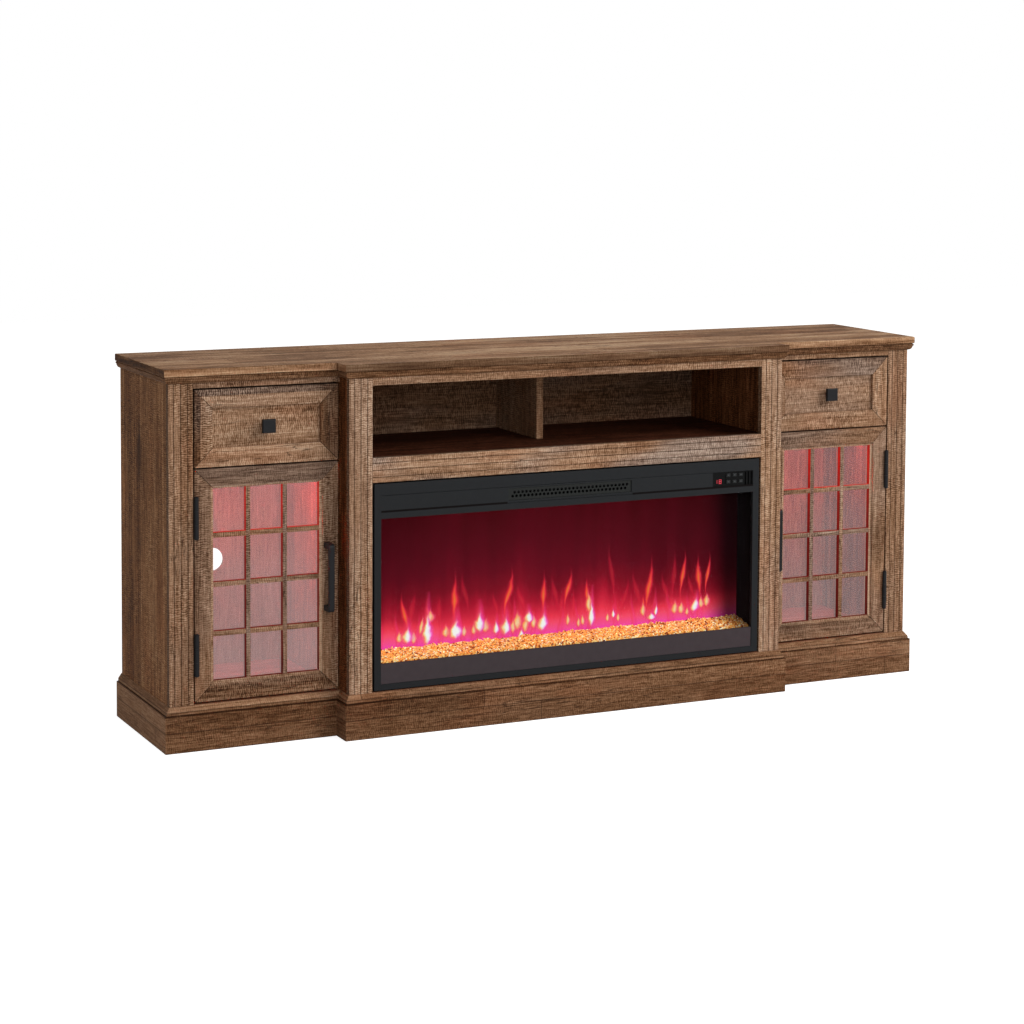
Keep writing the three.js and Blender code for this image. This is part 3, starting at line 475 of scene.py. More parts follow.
def zinc_finish():
    material, tree, shader = finish("zinc_sheet")
    flake = cells(coordinates(tree)["Object"], 70.0)[1]
    plug(shader, {"Base Color": tinted(flake, (0.36, 0.37, 0.38), (0.55, 0.56, 0.57))})
    plug(shader, {"Roughness": flake * 0.2 + 0.35, "Metallic": 0.85})
    return material


def door_glass_finish(side, haze):
    """Clear glass with a soft pale haze, thicker low down, with a painted glow on it for the lit strip's
    light while the door is shut.
    """
    material, tree, shader = finish(f"{side}_door_pane_glass")
    place = coordinates(tree)["Object"]
    cloud = noise(place, 5.0)
    shut = placed(tree, SHUT_DOOR)["Mask"]
    lit = ramp(cloud, [(0.3, 0.70, 0.56, 0.55), (0.7, 0.78, 0.62, 0.61)])
    haze_by_height = between(axes_of(place)["Z"], 0.14, 0.5, 0.225 * haze, 0.165 * haze) + (cloud * 0.05 - 0.025)
    plug(shader, {
        "Base Color": ramp(cloud, [(0.3, 0.030, 0.025, 0.025), (0.7, 0.040, 0.033, 0.033)]),
        "Emission Color": dimmed(lit, shut),
        "Emission Strength": HAZE_GLOW,
        "Alpha": haze_by_height * (shut * 0.7 + 0.3),
        "Roughness": cloud * 0.04 + 0.06,
    })
    return glowing_softly(material)


def fire_glass_finish():
    material, tree, shader = finish("fire_front_glass")
    dust = noise(coordinates(tree)["Object"], 9.0, detail=3)
    plug(shader, {
        "Base Color": tinted(dust, (0.003, 0.002, 0.003), (0.006, 0.004, 0.005)),
        "Alpha": between(dust, 0.0, 1.0, 0.1, 0.14),
        "Roughness": dust * 0.03 + 0.03,
        "Specular IOR Level": 0.03,
    })
    return material


def lit_strip_finish():
    """Frosted diffuser of the lit strips under the decks."""
    material, tree, shader = finish("lit_diffuser")
    wave = {"Vector": coordinates(tree)["Object"], "Scale": 19.0}
    beads = results(wire(tree, "ShaderNodeTexWave", wave, bands_direction="X"))["Fac"]
    plug(shader, {
        "Base Color": tinted(beads, (0.7, 0.4, 0.4), (0.85, 0.5, 0.5)),
        "Emission Color": tinted(beads, (0.9, 0.004, 0.002), (1.0, 0.006, 0.003)),
        "Emission Strength": LED_STRENGTH,
        "Roughness": 0.35,
    })
    return material


def flame_screen_finish():
    """The dark screen behind the embers, lit from below by the flame effect."""
    material, tree, shader = finish("flame_backdrop")
    place = coordinates(tree)["Object"]
    at = axes_of(place)
    curtain = noise(vector_calc("MULTIPLY", place, (30.0, 1.0, 2.6)), detail=4, roughness=0.6)
    waft = noise(vector_calc("MULTIPLY", place, (7.0, 1.0, 5.0)))
    rise = at["Z"] - (BED_HIGH.z - 6 * MM)
    uneven = waft * -0.55 + (curtain * -0.7 + 1.625)
    share = calc("DIVIDE", rise * uneven, GLASS_HIGH.z - BED_HIGH.z, clamp=True)
    sides = between(at["X"], -0.46, -0.2, 0.7, 1.0) * between(at["X"], 0.1, 0.36, 1.0, 0.68)
    sides = calc("MAXIMUM", sides, between(share, 0.12, 0.4, 1.0, 0.0))
    sides = sides * between(at["X"], 0.348, 0.425, 1.0, 0.08)
    plug(shader, {
        "Base Color": tinted(curtain, (0.003, 0.001, 0.001), (0.005, 0.001, 0.002)),
        "Emission Color": dimmed(ramp(share, SCREEN_GLOW), sides),
        "Emission Strength": FLAME_GLOW,
        "Roughness": 0.7,
        "Specular IOR Level": 0.0,
    })
    return glowing_softly(material)


def flame_finish(name, outline, heat, warm, cool, see, waver=0.3, softness=2.0, ragged=38.0):
    """A glowing flame picture.

    outline gives its half-width going up and heat how hot its middle line is, both as graphs. warm and
    cool are the colours of its two sides as they get hotter, and see is how solid it is. Its edge wavers
    by waver, at the fineness of ragged, and a lower softness blurs it more.
    """
    material, tree, shader = finish(name)
    here = coordinates(tree)
    uv = axes_of(here["UV"])
    wisp = noise(here["Object"], ragged, detail=3)
    side = uv["X"] * 2.0 - 1.0
    rim = between(abs(side), 0.7, 1.0, 1.0, 0.0)
    side = side + (wisp * waver - 0.5 * waver)
    across = abs(side) / graph(uv["Y"], outline)
    body = calc("EXPONENT", calc("POWER", across, softness) * -1.2)
    hot = body * graph(uv["Y"], heat) * rim
    plug(shader, {
        "Base Color": tinted(wisp, (0.002, 0.001, 0.001), (0.003, 0.001, 0.001)),
        "Emission Color": blended(between(side, -0.25, 0.25), ramp(hot, warm), ramp(hot, cool)),
        "Emission Strength": FLAME_GLOW,
        "Alpha": between(hot, 0.0, 0.5, 0.0, see),
        "Roughness": 1.0,
        "Specular IOR Level": 0.0,
    })
    return glowing_softly(material)


def ember_finish():
    """Crushed amber glass lit from below."""
    material, tree, shader = finish("amber_glass_embers")
    place = coordinates(tree)["Object"]
    _, picked, smooth = cells(place, 300.0)
    # Towards the far right end the light from below thins out: the glow fades there, and the glass's own
    # colour is darkened as painted shade.
    far_end = between(axes_of(place)["X"], 0.36, 0.435, 1.0, 0.22)
    glow = dimmed(ramp(picked, EMBER_GLOW), far_end)
    plug(shader, {"Base Color": glow, "Emission Color": glow, "Emission Strength": 0.5})
    plug(shader, {"Roughness": smooth * 0.25 + 0.1})
    return glowing_softly(material)


def lit_sign_finish():
    material, tree, shader = finish("lit_digits")
    uneven = noise(coordinates(tree)["Object"], 900.0)
    plug(shader, {"Emission Color": tinted(uneven, (0.5, 0.01, 0.03), (0.85, 0.03, 0.07))})
    plug(shader, {"Emission Strength": 1.0, "Base Color": (0.1, 0.0, 0.0, 1.0)})
    return glowing_softly(material)


# Wood of each board: lie of grain, seed, tone, greyness, saw marks, knots and tint
WOODS = {
    "top": ("flat", 1.3, 0.07, 0.1, 0.2, 0.6, (1.02, 0.97, 0.88)),
    "cornice": ("level", 2.7, -0.16, 0.1, 0.3, 0.0, (1.0, 0.95, 0.88)),
    "plinth": ("level", 4.1, -0.14, 0.1, 0.2, 0.5, (1.02, 0.97, 0.91)),
    "frieze": ("level", 5.9, 0.04, 0.2, 0.5, 0.0),
    "rail": ("level", 7.2, 0.16, 0.8, 0.4, 0.1),
    "outer_pilaster": ("upright", 8.4, 0.04, 0.15, 0.45, 0.4),
    "centre_pilaster": ("upright", 9.8, 0.15, 0.25, 0.45, 0.3),
    "side_panel": ("side", 11.1, 0.06, 0.0, 0.4, 0.9, (1.04, 0.89, 0.70)),
    # The inner sides, niche floor and niche back are toned darker: partly darker wood, partly painted shade
    # in the deep niche
    "inner_side": ("side", 12.6, -0.24, 0.0, 0.3, 0.3, (1.35, 1.0, 0.76)),
    "niche_floor": ("flat", 13.3, -0.4, 0.0, 0.2, 0.3, (0.8, 0.55, 0.6)),
    "divider": ("side", 14.9, 0.08, 0.1, 0.4, 0.2),
    "niche_back": ("level", 15.5, -0.12, 0.4, 0.4, 0.5),
    "cabinet_back": ("upright", 18.2, 0.08, 0.2, 0.15, 0.2),
    "drawer_box": ("deep", 16.4, -0.05, 0.3, 0.2, 0.3),
    "base_panel": ("flat", 19.4, 0.08, 0.0, 0.1, 0.1, (1.2, 0.9, 0.85)),
    "deck": ("flat", 17.7, -0.2, 0.2, 0.2, 0.3),
    "left_drawer_panel": ("level", 43.3, 0.10, 0.1, 0.45, 0.3),
    "right_drawer_panel": ("level", 44.9, 0.08, 0.3, 0.4, 0.7),
}

# What else some boards have, as wood() takes it
WOOD_EXTRAS = {
    "top": {
        "planks": (0.065, 1.125, -0.1975, 0.3), "spread": (0.8, 0.4, 1.0), "bands": 2.2,
        "strips": [([("X", -0.6, 0.2)], 0.1, 0.0)],
    },
    "plinth": {
        "planks": (0.041, 0.9, 0.0, 0.2), "bands": 0.5,
        "strips": [
            ([("X", PLINTH_END + 2 * MM, PLINTH_END + 0.3 * MM)], 0.2, 0.0),
            ([("X", 0.3, 0.6)], 0.04, 0.0),
            # From the ledge up lighter: a painted highlight on the ledge and the moulding above it
            ([("Z", 76 * MM, 77 * MM)], 0.18, 0.0),
            # A dark line just under the ledge: painted shade
            ([("Z", 73 * MM, 74.5 * MM), ("Z", 77.5 * MM, 76.5 * MM)], -0.3, 0.0),
        ],
    },
    "rail": {"face": CENTRE_FRONT},
    "outer_pilaster": {"face": SIDE_FRONT},
    "centre_pilaster": {"face": CENTRE_FRONT},
    "side_panel": {"planks": (0.094, 60.0, -0.13, 0.46), "bands": 1.5},
    "inner_side": {
        "strips": [
            # Behind the door lighter: painted light for the lit strip's glow in the cabinet
            ([("Z", 0.575, 0.555), ("Y", -0.13, -0.12)], 0.38, 0.0),
            # The part in front, between the side bays' fronts and the middle's, darker: painted shade
            ([("Y", -0.13, -0.135)], -0.12, 0.0),
        ],
        "relief": FAINT_RELIEF,
    },
    "cabinet_back": {"bands": 0.7, "relief": FAINT_RELIEF},
    "base_panel": {"relief": FAINT_RELIEF},
}

# Stops and graphs of the fire's glow, the stops again as (position, red, green, blue)
SCREEN_GLOW = [
    (0.0, 1.0, 0.050, 0.50), (0.04, 1.0, 0.085, 0.30), (0.09, 1.0, 0.080, 0.155), (0.14, 0.90, 0.042, 0.080),
    (0.2, 0.66, 0.020, 0.050), (0.28, 0.40, 0.009, 0.028), (0.38, 0.215, 0.0060, 0.0165),
    (0.52, 0.135, 0.0042, 0.0125), (0.7, 0.093, 0.0032, 0.0085), (1.0, 0.062, 0.0022, 0.0045),
]
EMBER_GLOW = [
    (0.0, 0.12, 0.010, 0.004), (0.10, 0.34, 0.06, 0.012), (0.32, 0.85, 0.28, 0.05),
    (0.62, 1.0, 0.46, 0.10), (0.86, 1.0, 0.70, 0.24), (1.0, 1.0, 0.95, 0.72),
]
DEEP_RED = [(0.0, 0.60, 0.008, 0.045), (0.5, 0.86, 0.020, 0.055), (1.0, 1.0, 0.055, 0.070)]
RED_TO_ORANGE = [
    (0.0, 0.72, 0.010, 0.045), (0.4, 0.96, 0.040, 0.045), (0.7, 1.0, 0.13, 0.035), (1.0, 1.0, 0.30, 0.03),
]
RED_TO_CORAL = [
    (0.0, 0.72, 0.010, 0.055), (0.4, 0.96, 0.035, 0.070), (0.7, 1.0, 0.09, 0.060), (1.0, 1.0, 0.20, 0.06),
]
PINK_TO_YELLOW = [
    (0.0, 1.0, 0.05, 0.15), (0.35, 1.0, 0.16, 0.12), (0.62, 1.0, 0.52, 0.12), (1.0, 1.0, 0.90, 0.46),
]
PINK_TO_ORANGE = [
    (0.0, 1.0, 0.05, 0.22), (0.35, 1.0, 0.12, 0.22), (0.65, 1.0, 0.34, 0.20), (1.0, 1.0, 0.66, 0.40),
]
YELLOW_TO_WHITE = [
    (0.0, 1.0, 0.06, 0.20), (0.35, 1.0, 0.28, 0.16), (0.6, 1.0, 0.76, 0.34), (0.8, 1.0, 1.0, 0.88),
]
LILAC_TO_WHITE = [
    (0.0, 1.0, 0.06, 0.40), (0.35, 1.0, 0.14, 0.62), (0.6, 1.0, 0.56, 0.90), (0.8, 1.0, 0.97, 1.0),
]
LICK_RED = [(0.0, 0.85, 0.02, 0.06), (1.0, 1.0, 0.07, 0.13)]
LICK_PINK = [(0.0, 0.9, 0.02, 0.10), (1.0, 1.0, 0.06, 0.30)]
HALO_RED = [(0.0, 0.95, 0.03, 0.10), (1.0, 1.0, 0.12, 0.16)]
HALO_PINK = [(0.0, 0.95, 0.03, 0.16), (1.0, 1.0, 0.09, 0.42)]
LICK_OUTLINE = [(0.0, 0.4), (0.4, 0.45), (1.0, 0.08)]
LICK_HEAT = [(0.0, 0.6), (0.35, 1.0), (0.7, 0.4), (1.0, 0.0)]
LEAF_OUTLINE = [(0.0, 0.08), (0.2, 0.1), (0.36, 0.18), (0.5, 0.3), (0.64, 0.24), (0.8, 0.14), (1.0, 0.07)]
LEAF_HEAT = [
    (0.0, 0.0), (0.12, 0.28), (0.28, 0.45), (0.42, 0.92), (0.5, 1.0), (0.62, 0.66), (0.78, 0.24), (1.0, 0.0),
]
HALO_OUTLINE = [(0.0, 0.3), (0.4, 0.6), (1.0, 0.2)]
HALO_HEAT = [(0.0, 0.0), (0.4, 1.0), (1.0, 0.0)]
HEART_OUTLINE = [(0.0, 0.22), (0.15, 0.46), (0.32, 0.58), (0.48, 0.5), (0.64, 0.3), (0.82, 0.16), (1.0, 0.07)]
HEART_HEAT = [
    (0.0, 0.0), (0.12, 0.35), (0.24, 0.9), (0.36, 1.0), (0.5, 0.95), (0.64, 0.6), (0.8, 0.25), (1.0, 0.0),
]
HEART_EDGE = {"waver": 0.6, "softness": 1.5, "ragged": 90.0}

boards = {
    board: wood(f"{board}_wood", *numbers, **WOOD_EXTRAS.get(board, {})) for board, numbers in WOODS.items()
}

satin_black = painted("black_powder_coat", (0.008, 0.008, 0.009), 0.42, gloss=0.12)
charcoal = painted("charcoal_steel", (0.0118, 0.0127, 0.0138), 0.5, gloss=0.08)
# The blower wheel is coloured dark: painted shade behind the grille.
fan_steel_in_shade = painted("fan_steel", (0.02, 0.02, 0.021), 0.5, metallic=0.6)
mesh_black = painted("black_mesh_steel", (0.012, 0.013, 0.012), 0.5, gloss=0.1)
panel_black = painted("black_moulded_plastic", (0.003, 0.003, 0.003), 0.5, gloss=0.05)
key_grey = painted("key_plastic", (0.009, 0.010, 0.010), 0.4, gloss=0.15)
key_print = painted("key_mark_print", (0.055, 0.058, 0.062), 0.6, wear=0.3)
# Black sheet of the firebox lining, also used for the painted shade strips on the bezel.
black_lining_and_shade = painted("black_lining_and_painted_shade", (0.004, 0.003, 0.003), 0.8, gloss=0.05)
front_panel = painted("ember_front_panel", (0.045, 0.035, 0.038), 0.6, wear=0.3, gloss=0.05)
screw_steel = painted("screw_steel", (0.35, 0.34, 0.32), 0.35, metallic=0.9)
bare_metal = painted("bare_aluminium", (0.6, 0.61, 0.62), 0.3, metallic=0.95)
slot_painted_shade = painted("screw_slot_painted_shade", (0.01, 0.01, 0.01), 0.5)
zinc = zinc_finish()
lit_strip = lit_strip_finish()
door_glass = {"left": door_glass_finish("left", 0.8), "right": door_glass_finish("right", 0.64)}
fire_glass = fire_glass_finish()
flame_screen = flame_screen_finish()
ember_glass = ember_finish()

lick_glow = flame_finish("lick_glow", LICK_OUTLINE, LICK_HEAT, LICK_RED, LICK_PINK, 0.45)
faint_glow = flame_finish("faint_leaf_glow", LEAF_OUTLINE, LEAF_HEAT, DEEP_RED, DEEP_RED, 0.28, softness=1.3)
bright_glow = flame_finish(
    "bright_leaf_glow", LEAF_OUTLINE, LEAF_HEAT, RED_TO_ORANGE, RED_TO_CORAL, 0.85, softness=1.25,
)
halo_glow = flame_finish("halo_glow", HALO_OUTLINE, HALO_HEAT, HALO_RED, HALO_PINK, 0.5)
amber_glow = flame_finish(
    "amber_heart_glow", HEART_OUTLINE, HEART_HEAT, PINK_TO_YELLOW, PINK_TO_ORANGE, 0.9, **HEART_EDGE,
)
white_glow = flame_finish(
    "white_heart_glow", HEART_OUTLINE, HEART_HEAT, YELLOW_TO_WHITE, LILAC_TO_WHITE, 1.0, **HEART_EDGE,
)


# Mesh building. A form is the points and faces of one or more closed bodies


def shown(name, form, material, body):
    """A new visible piece from its form, riding on a body."""
    mesh = bpy.data.meshes.new(name)
    points, faces = form
    mesh.from_pydata(points, [], faces)
    made = bmesh.new()
    made.from_mesh(mesh)
    bmesh.ops.recalc_face_normals(made, faces=made.faces)
    made.to_mesh(mesh)
    made.free()
    mesh.materials.append(material)
    piece = bpy.data.objects.new(name, mesh)
    bpy.context.scene.collection.objects.link(piece)
    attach(piece, body)
    return piece


def eased(piece, width=EDGE):
    """Rounds a piece's sharp edges a little."""
    weld = piece.modifiers.new("one_skin", "WELD")
    weld.merge_threshold = 0.01 * MM
    bevel = piece.modifiers.new("eased_edges", "BEVEL")
    bevel.width, bevel.segments = width, 2
    bevel.limit_method, bevel.angle_limit = "ANGLE", math.radians(32)
    bevel.use_clamp_overlap = True
    return piece


def dressed(node, material, edge=EDGE):
    """A CAD node kept as it is, with its own finish and eased edges."""
    piece = nodes[node]
    piece.data.materials.clear()
    piece.data.materials.append(material)
    if edge:
        eased(piece, edge)


def prism(rings):
    """The form of a closed body from rings of points, capped at both ends."""
    count = len(rings[0])
    points = [point for ring in rings for point in ring]
    faces = [tuple(range(count)), tuple(range((len(rings) - 1) * count, len(rings) * count))]
    for level in range(len(rings) - 1):
        for i in range(count):
            a, b = level * count + i, level * count + (i + 1) % count
            faces.append((a, b, b + count, a + count))
    return points, faces


def joined(forms):
    """Several forms as one."""
    points, faces = [], []
    for form_points, form_faces in forms:
        start = len(points)
        points += form_points
        faces += [tuple(start + i for i in face) for face in form_faces]
    return points, faces


def block(low, high):
    (x0, y0, z0), (x1, y1, z1) = low, high
    foot = [(x0, y0, z0), (x1, y0, z0), (x1, y1, z0), (x0, y1, z0)]
    return prism([foot, [(x, y, z1) for x, y, _ in foot]])


def member(place, low, high, profile):
    """One side of a mitred frame. The profile's points are (in from the outer edge, back from the face)."""
    near, far = [], []
    for inward, back in profile:
        y = low.y + back
        short = inward + MITRE_GAP
        if place in ("bottom", "top"):
            z = low.z + inward if place == "bottom" else high.z - inward
            near.append((low.x + short, y, z))
            far.append((high.x - short, y, z))
        else:
            x = low.x + inward if place == "left" else high.x - inward
            near.append((x, y, low.z + short))
            far.append((x, y, high.z - short))
    return prism([near, far])


# Carcass


# Carcass pieces with their finish and eased edge, those of the middle and then those of each side
MIDDLE_PIECES = {
    "top_board": ("top", 1.2 * MM), "cornice_moulding": ("cornice", SMALL_EDGE),
    "plinth": ("plinth", 0.9 * MM), "base_panel": ("base_panel", EDGE),
    "centre_rail": ("rail", SMALL_EDGE), "centre_frieze": ("frieze", EDGE),
    "niche_floor": ("niche_floor", EDGE), "niche_divider": ("divider", EDGE),
    "centre_back_panel": ("niche_back", EDGE),
}
SIDE_PIECES = {
    "frieze": ("frieze", EDGE), "outer_side": ("side_panel", EDGE), "inner_side": ("inner_side", EDGE),
    "outer_pilaster": ("outer_pilaster", SMALL_EDGE), "centre_pilaster": ("centre_pilaster", SMALL_EDGE),
    "drawer_deck": ("deck", EDGE), "back_panel": ("cabinet_back", EDGE), "drawer_box": ("drawer_box", EDGE),
}
METAL_PIECES = {"drawer_knob": 0.4 * MM, "door_pull": 1.2 * MM}
for leaf in ("lower_hinge_frame", "lower_hinge_door", "upper_hinge_frame", "upper_hinge_door"):
    METAL_PIECES[f"{leaf}_leaf"] = FINE_EDGE


def carcass():
    for node, (board, edge) in MIDDLE_PIECES.items():
        dressed(node, boards[board], edge)
    for side in SIDES:
        for node, (board, edge) in SIDE_PIECES.items():
            dressed(f"{side}_{node}", boards[board], edge)
        for node, edge in METAL_PIECES.items():
            dressed(f"{side}_{node}", satin_black, edge)
        dressed(f"{side}_led_strip", lit_strip, 0)


# Doors and drawers. Each member of a frame has its own board: seed, tone, greyness and saw marks

DOOR_BOARDS = {
    "left": {
        "top": (21.3, -0.12, 0.6, 0.25), "bottom": (22.8, -0.12, 0.3, 0.4),
        "left": (23.1, -0.04, 0.3, 0.4), "right": (24.6, 0.04, 0.3, 0.5),
    },
    "right": {
        "top": (25.2, -0.06, 0.6, 0.3), "bottom": (26.9, 0.0, 0.3, 0.4),
        "left": (27.4, 0.04, 0.3, 0.4), "right": (28.7, 0.04, 0.35, 0.4),
    },
}
DRAWER_BOARDS = {
    "left": {
        "top": (31.2, 0.12, 0.15, 0.7), "bottom": (32.5, 0.1, 0.05, 0.35),
        "left": (33.8, 0.04, 0.4, 0.6), "right": (34.4, -0.14, 0.7, 0.3),
    },
    "right": {
        "top": (35.7, -0.06, 0.75, 0.4), "bottom": (36.1, 0.06, 0.3, 0.5),
        "left": (37.9, 0.02, 0.4, 0.45), "right": (38.3, 0.1, 0.15, 0.4),
    },
}


def frame_members(body, box, profile, prints, strips, **look):
    """The four mitred members of a door's or a drawer front's frame, top first."""
    pieces = []
    for place, numbers in prints.items():
        lie = "level" if place in ("top", "bottom") else "upright"
        finish_of = wood(f"{body}_{place}_wood", lie, *numbers, strips=strips.get(place, ()), **look)
        form = member(place, *box, profile)
        pieces.append(eased(shown(f"{body}_{place}_member", form, finish_of, body)))
    return pieces


def door(side):
    body = f"{side}_door"
    low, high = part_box(f"{side}_door_frame")
    front, thick = low.y, high.y - low.y
    border = DOOR_FACE + PANE_BORDER
    slot = DOOR_STEP + GRID_THICK
    behind = slot + GLASS_SLOT
    profile = [
        (0, 0), (DOOR_FACE, 0), (DOOR_FACE, DOOR_STEP), (border, DOOR_STEP), (border, slot),
        (DOOR_FACE, slot), (DOOR_FACE, behind), (border, behind), (border, thick), (0, thick),
    ]
    reveal = border - 1 * MM
    glow = {"Left": low.x + reveal, "Right": high.x - reveal, "Low": low.z + reveal, "High": high.z - reveal}
    glow["Front"] = front + DOOR_STEP + 0.3 * MM
    steps = {}
    for place, axis, edge, inward in (
        ("top", "Z", high.z, -1), ("bottom", "Z", low.z, 1),
        ("left", "X", low.x, 1), ("right", "X", high.x, -1),
    ):
        limit = (axis, edge + inward * (DOOR_FACE - 0.4 * MM), edge + inward * (DOOR_FACE + 0.2 * MM))
        steps[place] = [([limit], 0.26, -0.2)]
    pieces = frame_members(body, (low, high), profile, DOOR_BOARDS[side], steps, glow=glow)
    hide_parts(f"{side}_door_frame")

    x0, x1, z0, z1 = low.x + border, high.x - border, low.z + border, high.z - border
    pane_wide = (x1 - x0 - (PANES_ACROSS - 1) * MUNTIN_WIDE) / PANES_ACROSS
    pane_tall = (z1 - z0 - (PANES_UP - 1) * MUNTIN_HIGH) / PANES_UP
    uprights, levels = [], []
    for near, far in ((front + DOOR_STEP, front + slot), (front + behind, front + thick)):
        for column in range(1, PANES_ACROSS):
            x = x0 + column * pane_wide + (column - 1) * MUNTIN_WIDE
            uprights.append(block((x, near, z0), (x + MUNTIN_WIDE, far, z1)))
        for row in range(1, PANES_UP):
            z = z0 + row * pane_tall + (row - 1) * MUNTIN_HIGH
            for column in range(PANES_ACROSS):
                x = x0 + column * (pane_wide + MUNTIN_WIDE)
                levels.append(block((x, near + MUNTIN_BACKSET, z), (x + pane_wide, far, z + MUNTIN_HIGH)))
    for name, bars, seed, tone in (("upright", uprights, 40.3, -0.02), ("level", levels, 41.5, 0.0)):
        finish_of = wood(f"{side}_{name}_muntin_wood", name, seed, tone, 0.6, 0.4, 0.0, glow=glow)
        muntins = shown(f"{side}_door_{name}_muntins", joined(bars), finish_of, body)
        eased(muntins, SMALL_EDGE)
    dressed(f"{side}_door_glass", door_glass[side], 0)


def drawer_front(side):
    body = f"{side}_drawer"
    low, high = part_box(f"{side}_drawer_front")
    thick = high.y - low.y
    profile = [(0, 0), (DRAWER_FACE, 0), (DRAWER_FACE, thick), (0, thick)]
    # The left front has a greyer strip along its top and its left edge
    strip, fade = 13.5 * MM, 1 * MM
    strips = {
        "top": [([("Z", high.z - strip, high.z - strip + fade)], -0.26, 0.5)],
        "left": [([("X", low.x + strip, low.x + strip - fade)], -0.26, 0.5)],
    }
    printed = strips if side == "left" else {}
    pieces = frame_members(body, (low, high), profile, DRAWER_BOARDS[side], printed, knots=0.7)
    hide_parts(f"{side}_drawer_front")
    inset = DRAWER_FACE - MITRE_GAP
    near = (low.x + inset, low.y + DRAWER_RECESS, low.z + inset)
    far = (high.x - inset, high.y - 2 * MM, high.z - inset)
    material = boards[f"{side}_drawer_panel"]
    eased(shown(f"{side}_drawer_panel", block(near, far), material, body), FINE_EDGE)


# Electric fire


def fire_body():
    dressed("fire_bezel", charcoal, SMALL_EDGE)
    dressed("fire_case", zinc, 0.4 * MM)
    dressed("fire_glass", fire_glass, 0)
    dressed("flame_screen", flame_screen, 0)
    dressed("flame_rotor", bare_metal, 0)
    dressed("blower_wheel", fan_steel_in_shade, 0)
    dressed("heater_grille", mesh_black, 0)
    dressed("control_panel", panel_black, FINE_EDGE)
    for i in BUTTONS:
        dressed(f"control_button_{i}", key_grey, SMALL_EDGE)


def firebox_lining():
    """Black sheet lining of the firebox: two ends, a roof and the panel in front of the embers."""
    half = GLASS_HIGH.x - 0.1 * MM
    sheet = 0.4 * MM
    front, back = GLASS_HIGH.y + 0.5 * MM, SCREEN_FRONT - 0.3 * MM
    low, top = GLASS_LOW.z + 0.3 * MM, GLASS_HIGH.z - 0.1 * MM
    parts = [block((end - sheet, front, low), (end + sheet, back, top)) for end in (-half, half)]
    parts.append(block((-half, front, top - sheet), (half, back, top + 0.3 * MM)))
    shown("firebox_lining", joined(parts), black_lining_and_shade, "stand")
    end = half - 2.7 * MM
    low = (-end, FIRE_FRONT + 1.5 * MM, FIRE_FOOT + 12.3 * MM)
    high = (end, GLASS_LOW.y - 0.3 * MM, BED_LOW.z + 45 * MM)
    eased(shown("ember_front_panel", block(low, high), front_panel, "stand"), FINE_EDGE)


def bezel_shade_strips():
    """Black strips on the bezel's bar at both sides of the grille: painted shade for the dark line between
    the bar and the panel above it.
    """
    low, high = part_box("fire_bezel")
    grille_low, grille_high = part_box("heater_grille")
    middle, tall = FIRE_FOOT + 371 * MM, 4.2 * MM
    end, clear = high.x - 15 * MM, 3 * MM
    parts = []
    for x0, x1 in ((-end, grille_low.x - clear), (grille_high.x + clear, end)):
        near, far = low.y - 0.12 * MM, low.y + 0.2 * MM
        parts.append(block((x0, near, middle - tall / 2), (x1, far, middle + tall / 2)))
    shown("bezel_painted_shade_strips", joined(parts), black_lining_and_shade, "stand")


def leaf_sheet(middle, low, high, width, deep):
    """A wavering sheet that swings to either side of its middle: its form and its UV places."""
    steps, columns = 14, 4
    swing = width * 0.2 * math.sin(middle * 90)
    points, faces, places = [], [], []
    for i in range(steps + 1):
        up = i / steps
        sway = swing * math.sin(5.0 * (up - 0.5))
        for j in range(columns + 1):
            side = j / columns
            points.append((middle + sway + width * (side - 0.5), deep, low + (high - low) * up))
            places.append((side, up))
    for i in range(steps):
        for j in range(columns):
            a = i * (columns + 1) + j
            faces.append((a, a + 1, a + columns + 2, a + columns + 1))
    return (points, faces), places


def heart_sheet(heart, foot, deep, reach, spread):
    """The upright sheet of one hot heart, or of its halo: its form and its UV places."""
    x, rise, width, height, lean = heart
    middle = foot + rise * MM
    low, high = middle - reach[0] * height * MM, middle + reach[1] * height * MM
    start, lean = x - lean * 0.4 * MM, lean * MM
    places = [(0.0, 0.0), (1.0, 0.0), (1.0, 1.0), (0.0, 1.0)]
    points = []
    for side, up in places:
        points.append((start + spread * width * MM * (side - 0.5) + lean * up, deep, low + (high - low) * up))
    return (points, [(0, 1, 2, 3)]), places


def flame_pictures(name, sheets, material):
    piece = shown(name, joined([form for form, _ in sheets]), material, "stand")
    places = [place for _, sheet_places in sheets for place in sheet_places]
    layer = piece.data.uv_layers.new(name="across_and_up")
    for loop in piece.data.loops:
        layer.data[loop.index].uv = places[loop.vertex_index]


# Leaves of flame as (x, low, high, width), and hot hearts as (x, rise, width, height, lean). x is in
# metres and the rest in millimetres above the embers
BRIGHT_LEAVES = [
    (-0.360, 54, 94, 12), (-0.245, 74, 122, 15), (-0.120, 74, 124, 13), (-0.036, 70, 112, 12),
    (0.022, 80, 116, 12), (0.068, 68, 100, 9), (0.220, 58, 116, 13), (0.305, 84, 130, 11),
    (0.346, 78, 120, 12), (0.368, 84, 124, 8), (-0.304, 58, 80, 9), (0.207, 40, 60, 6),
]
FAINT_LEAVES = [
    (-0.343, 64, 102, 15), (-0.221, 88, 128, 12), (-0.280, 60, 92, 12), (-0.150, 62, 92, 10),
    (-0.090, 70, 104, 14), (0.006, 46, 84, 8), (0.036, 46, 84, 8), (0.128, 96, 156, 11),
    (0.283, 84, 134, 11), (0.160, 50, 90, 12), (0.190, 60, 104, 13), (0.262, 60, 96, 12),
    (-0.010, 76, 112, 12), (0.326, 64, 96, 10),
]
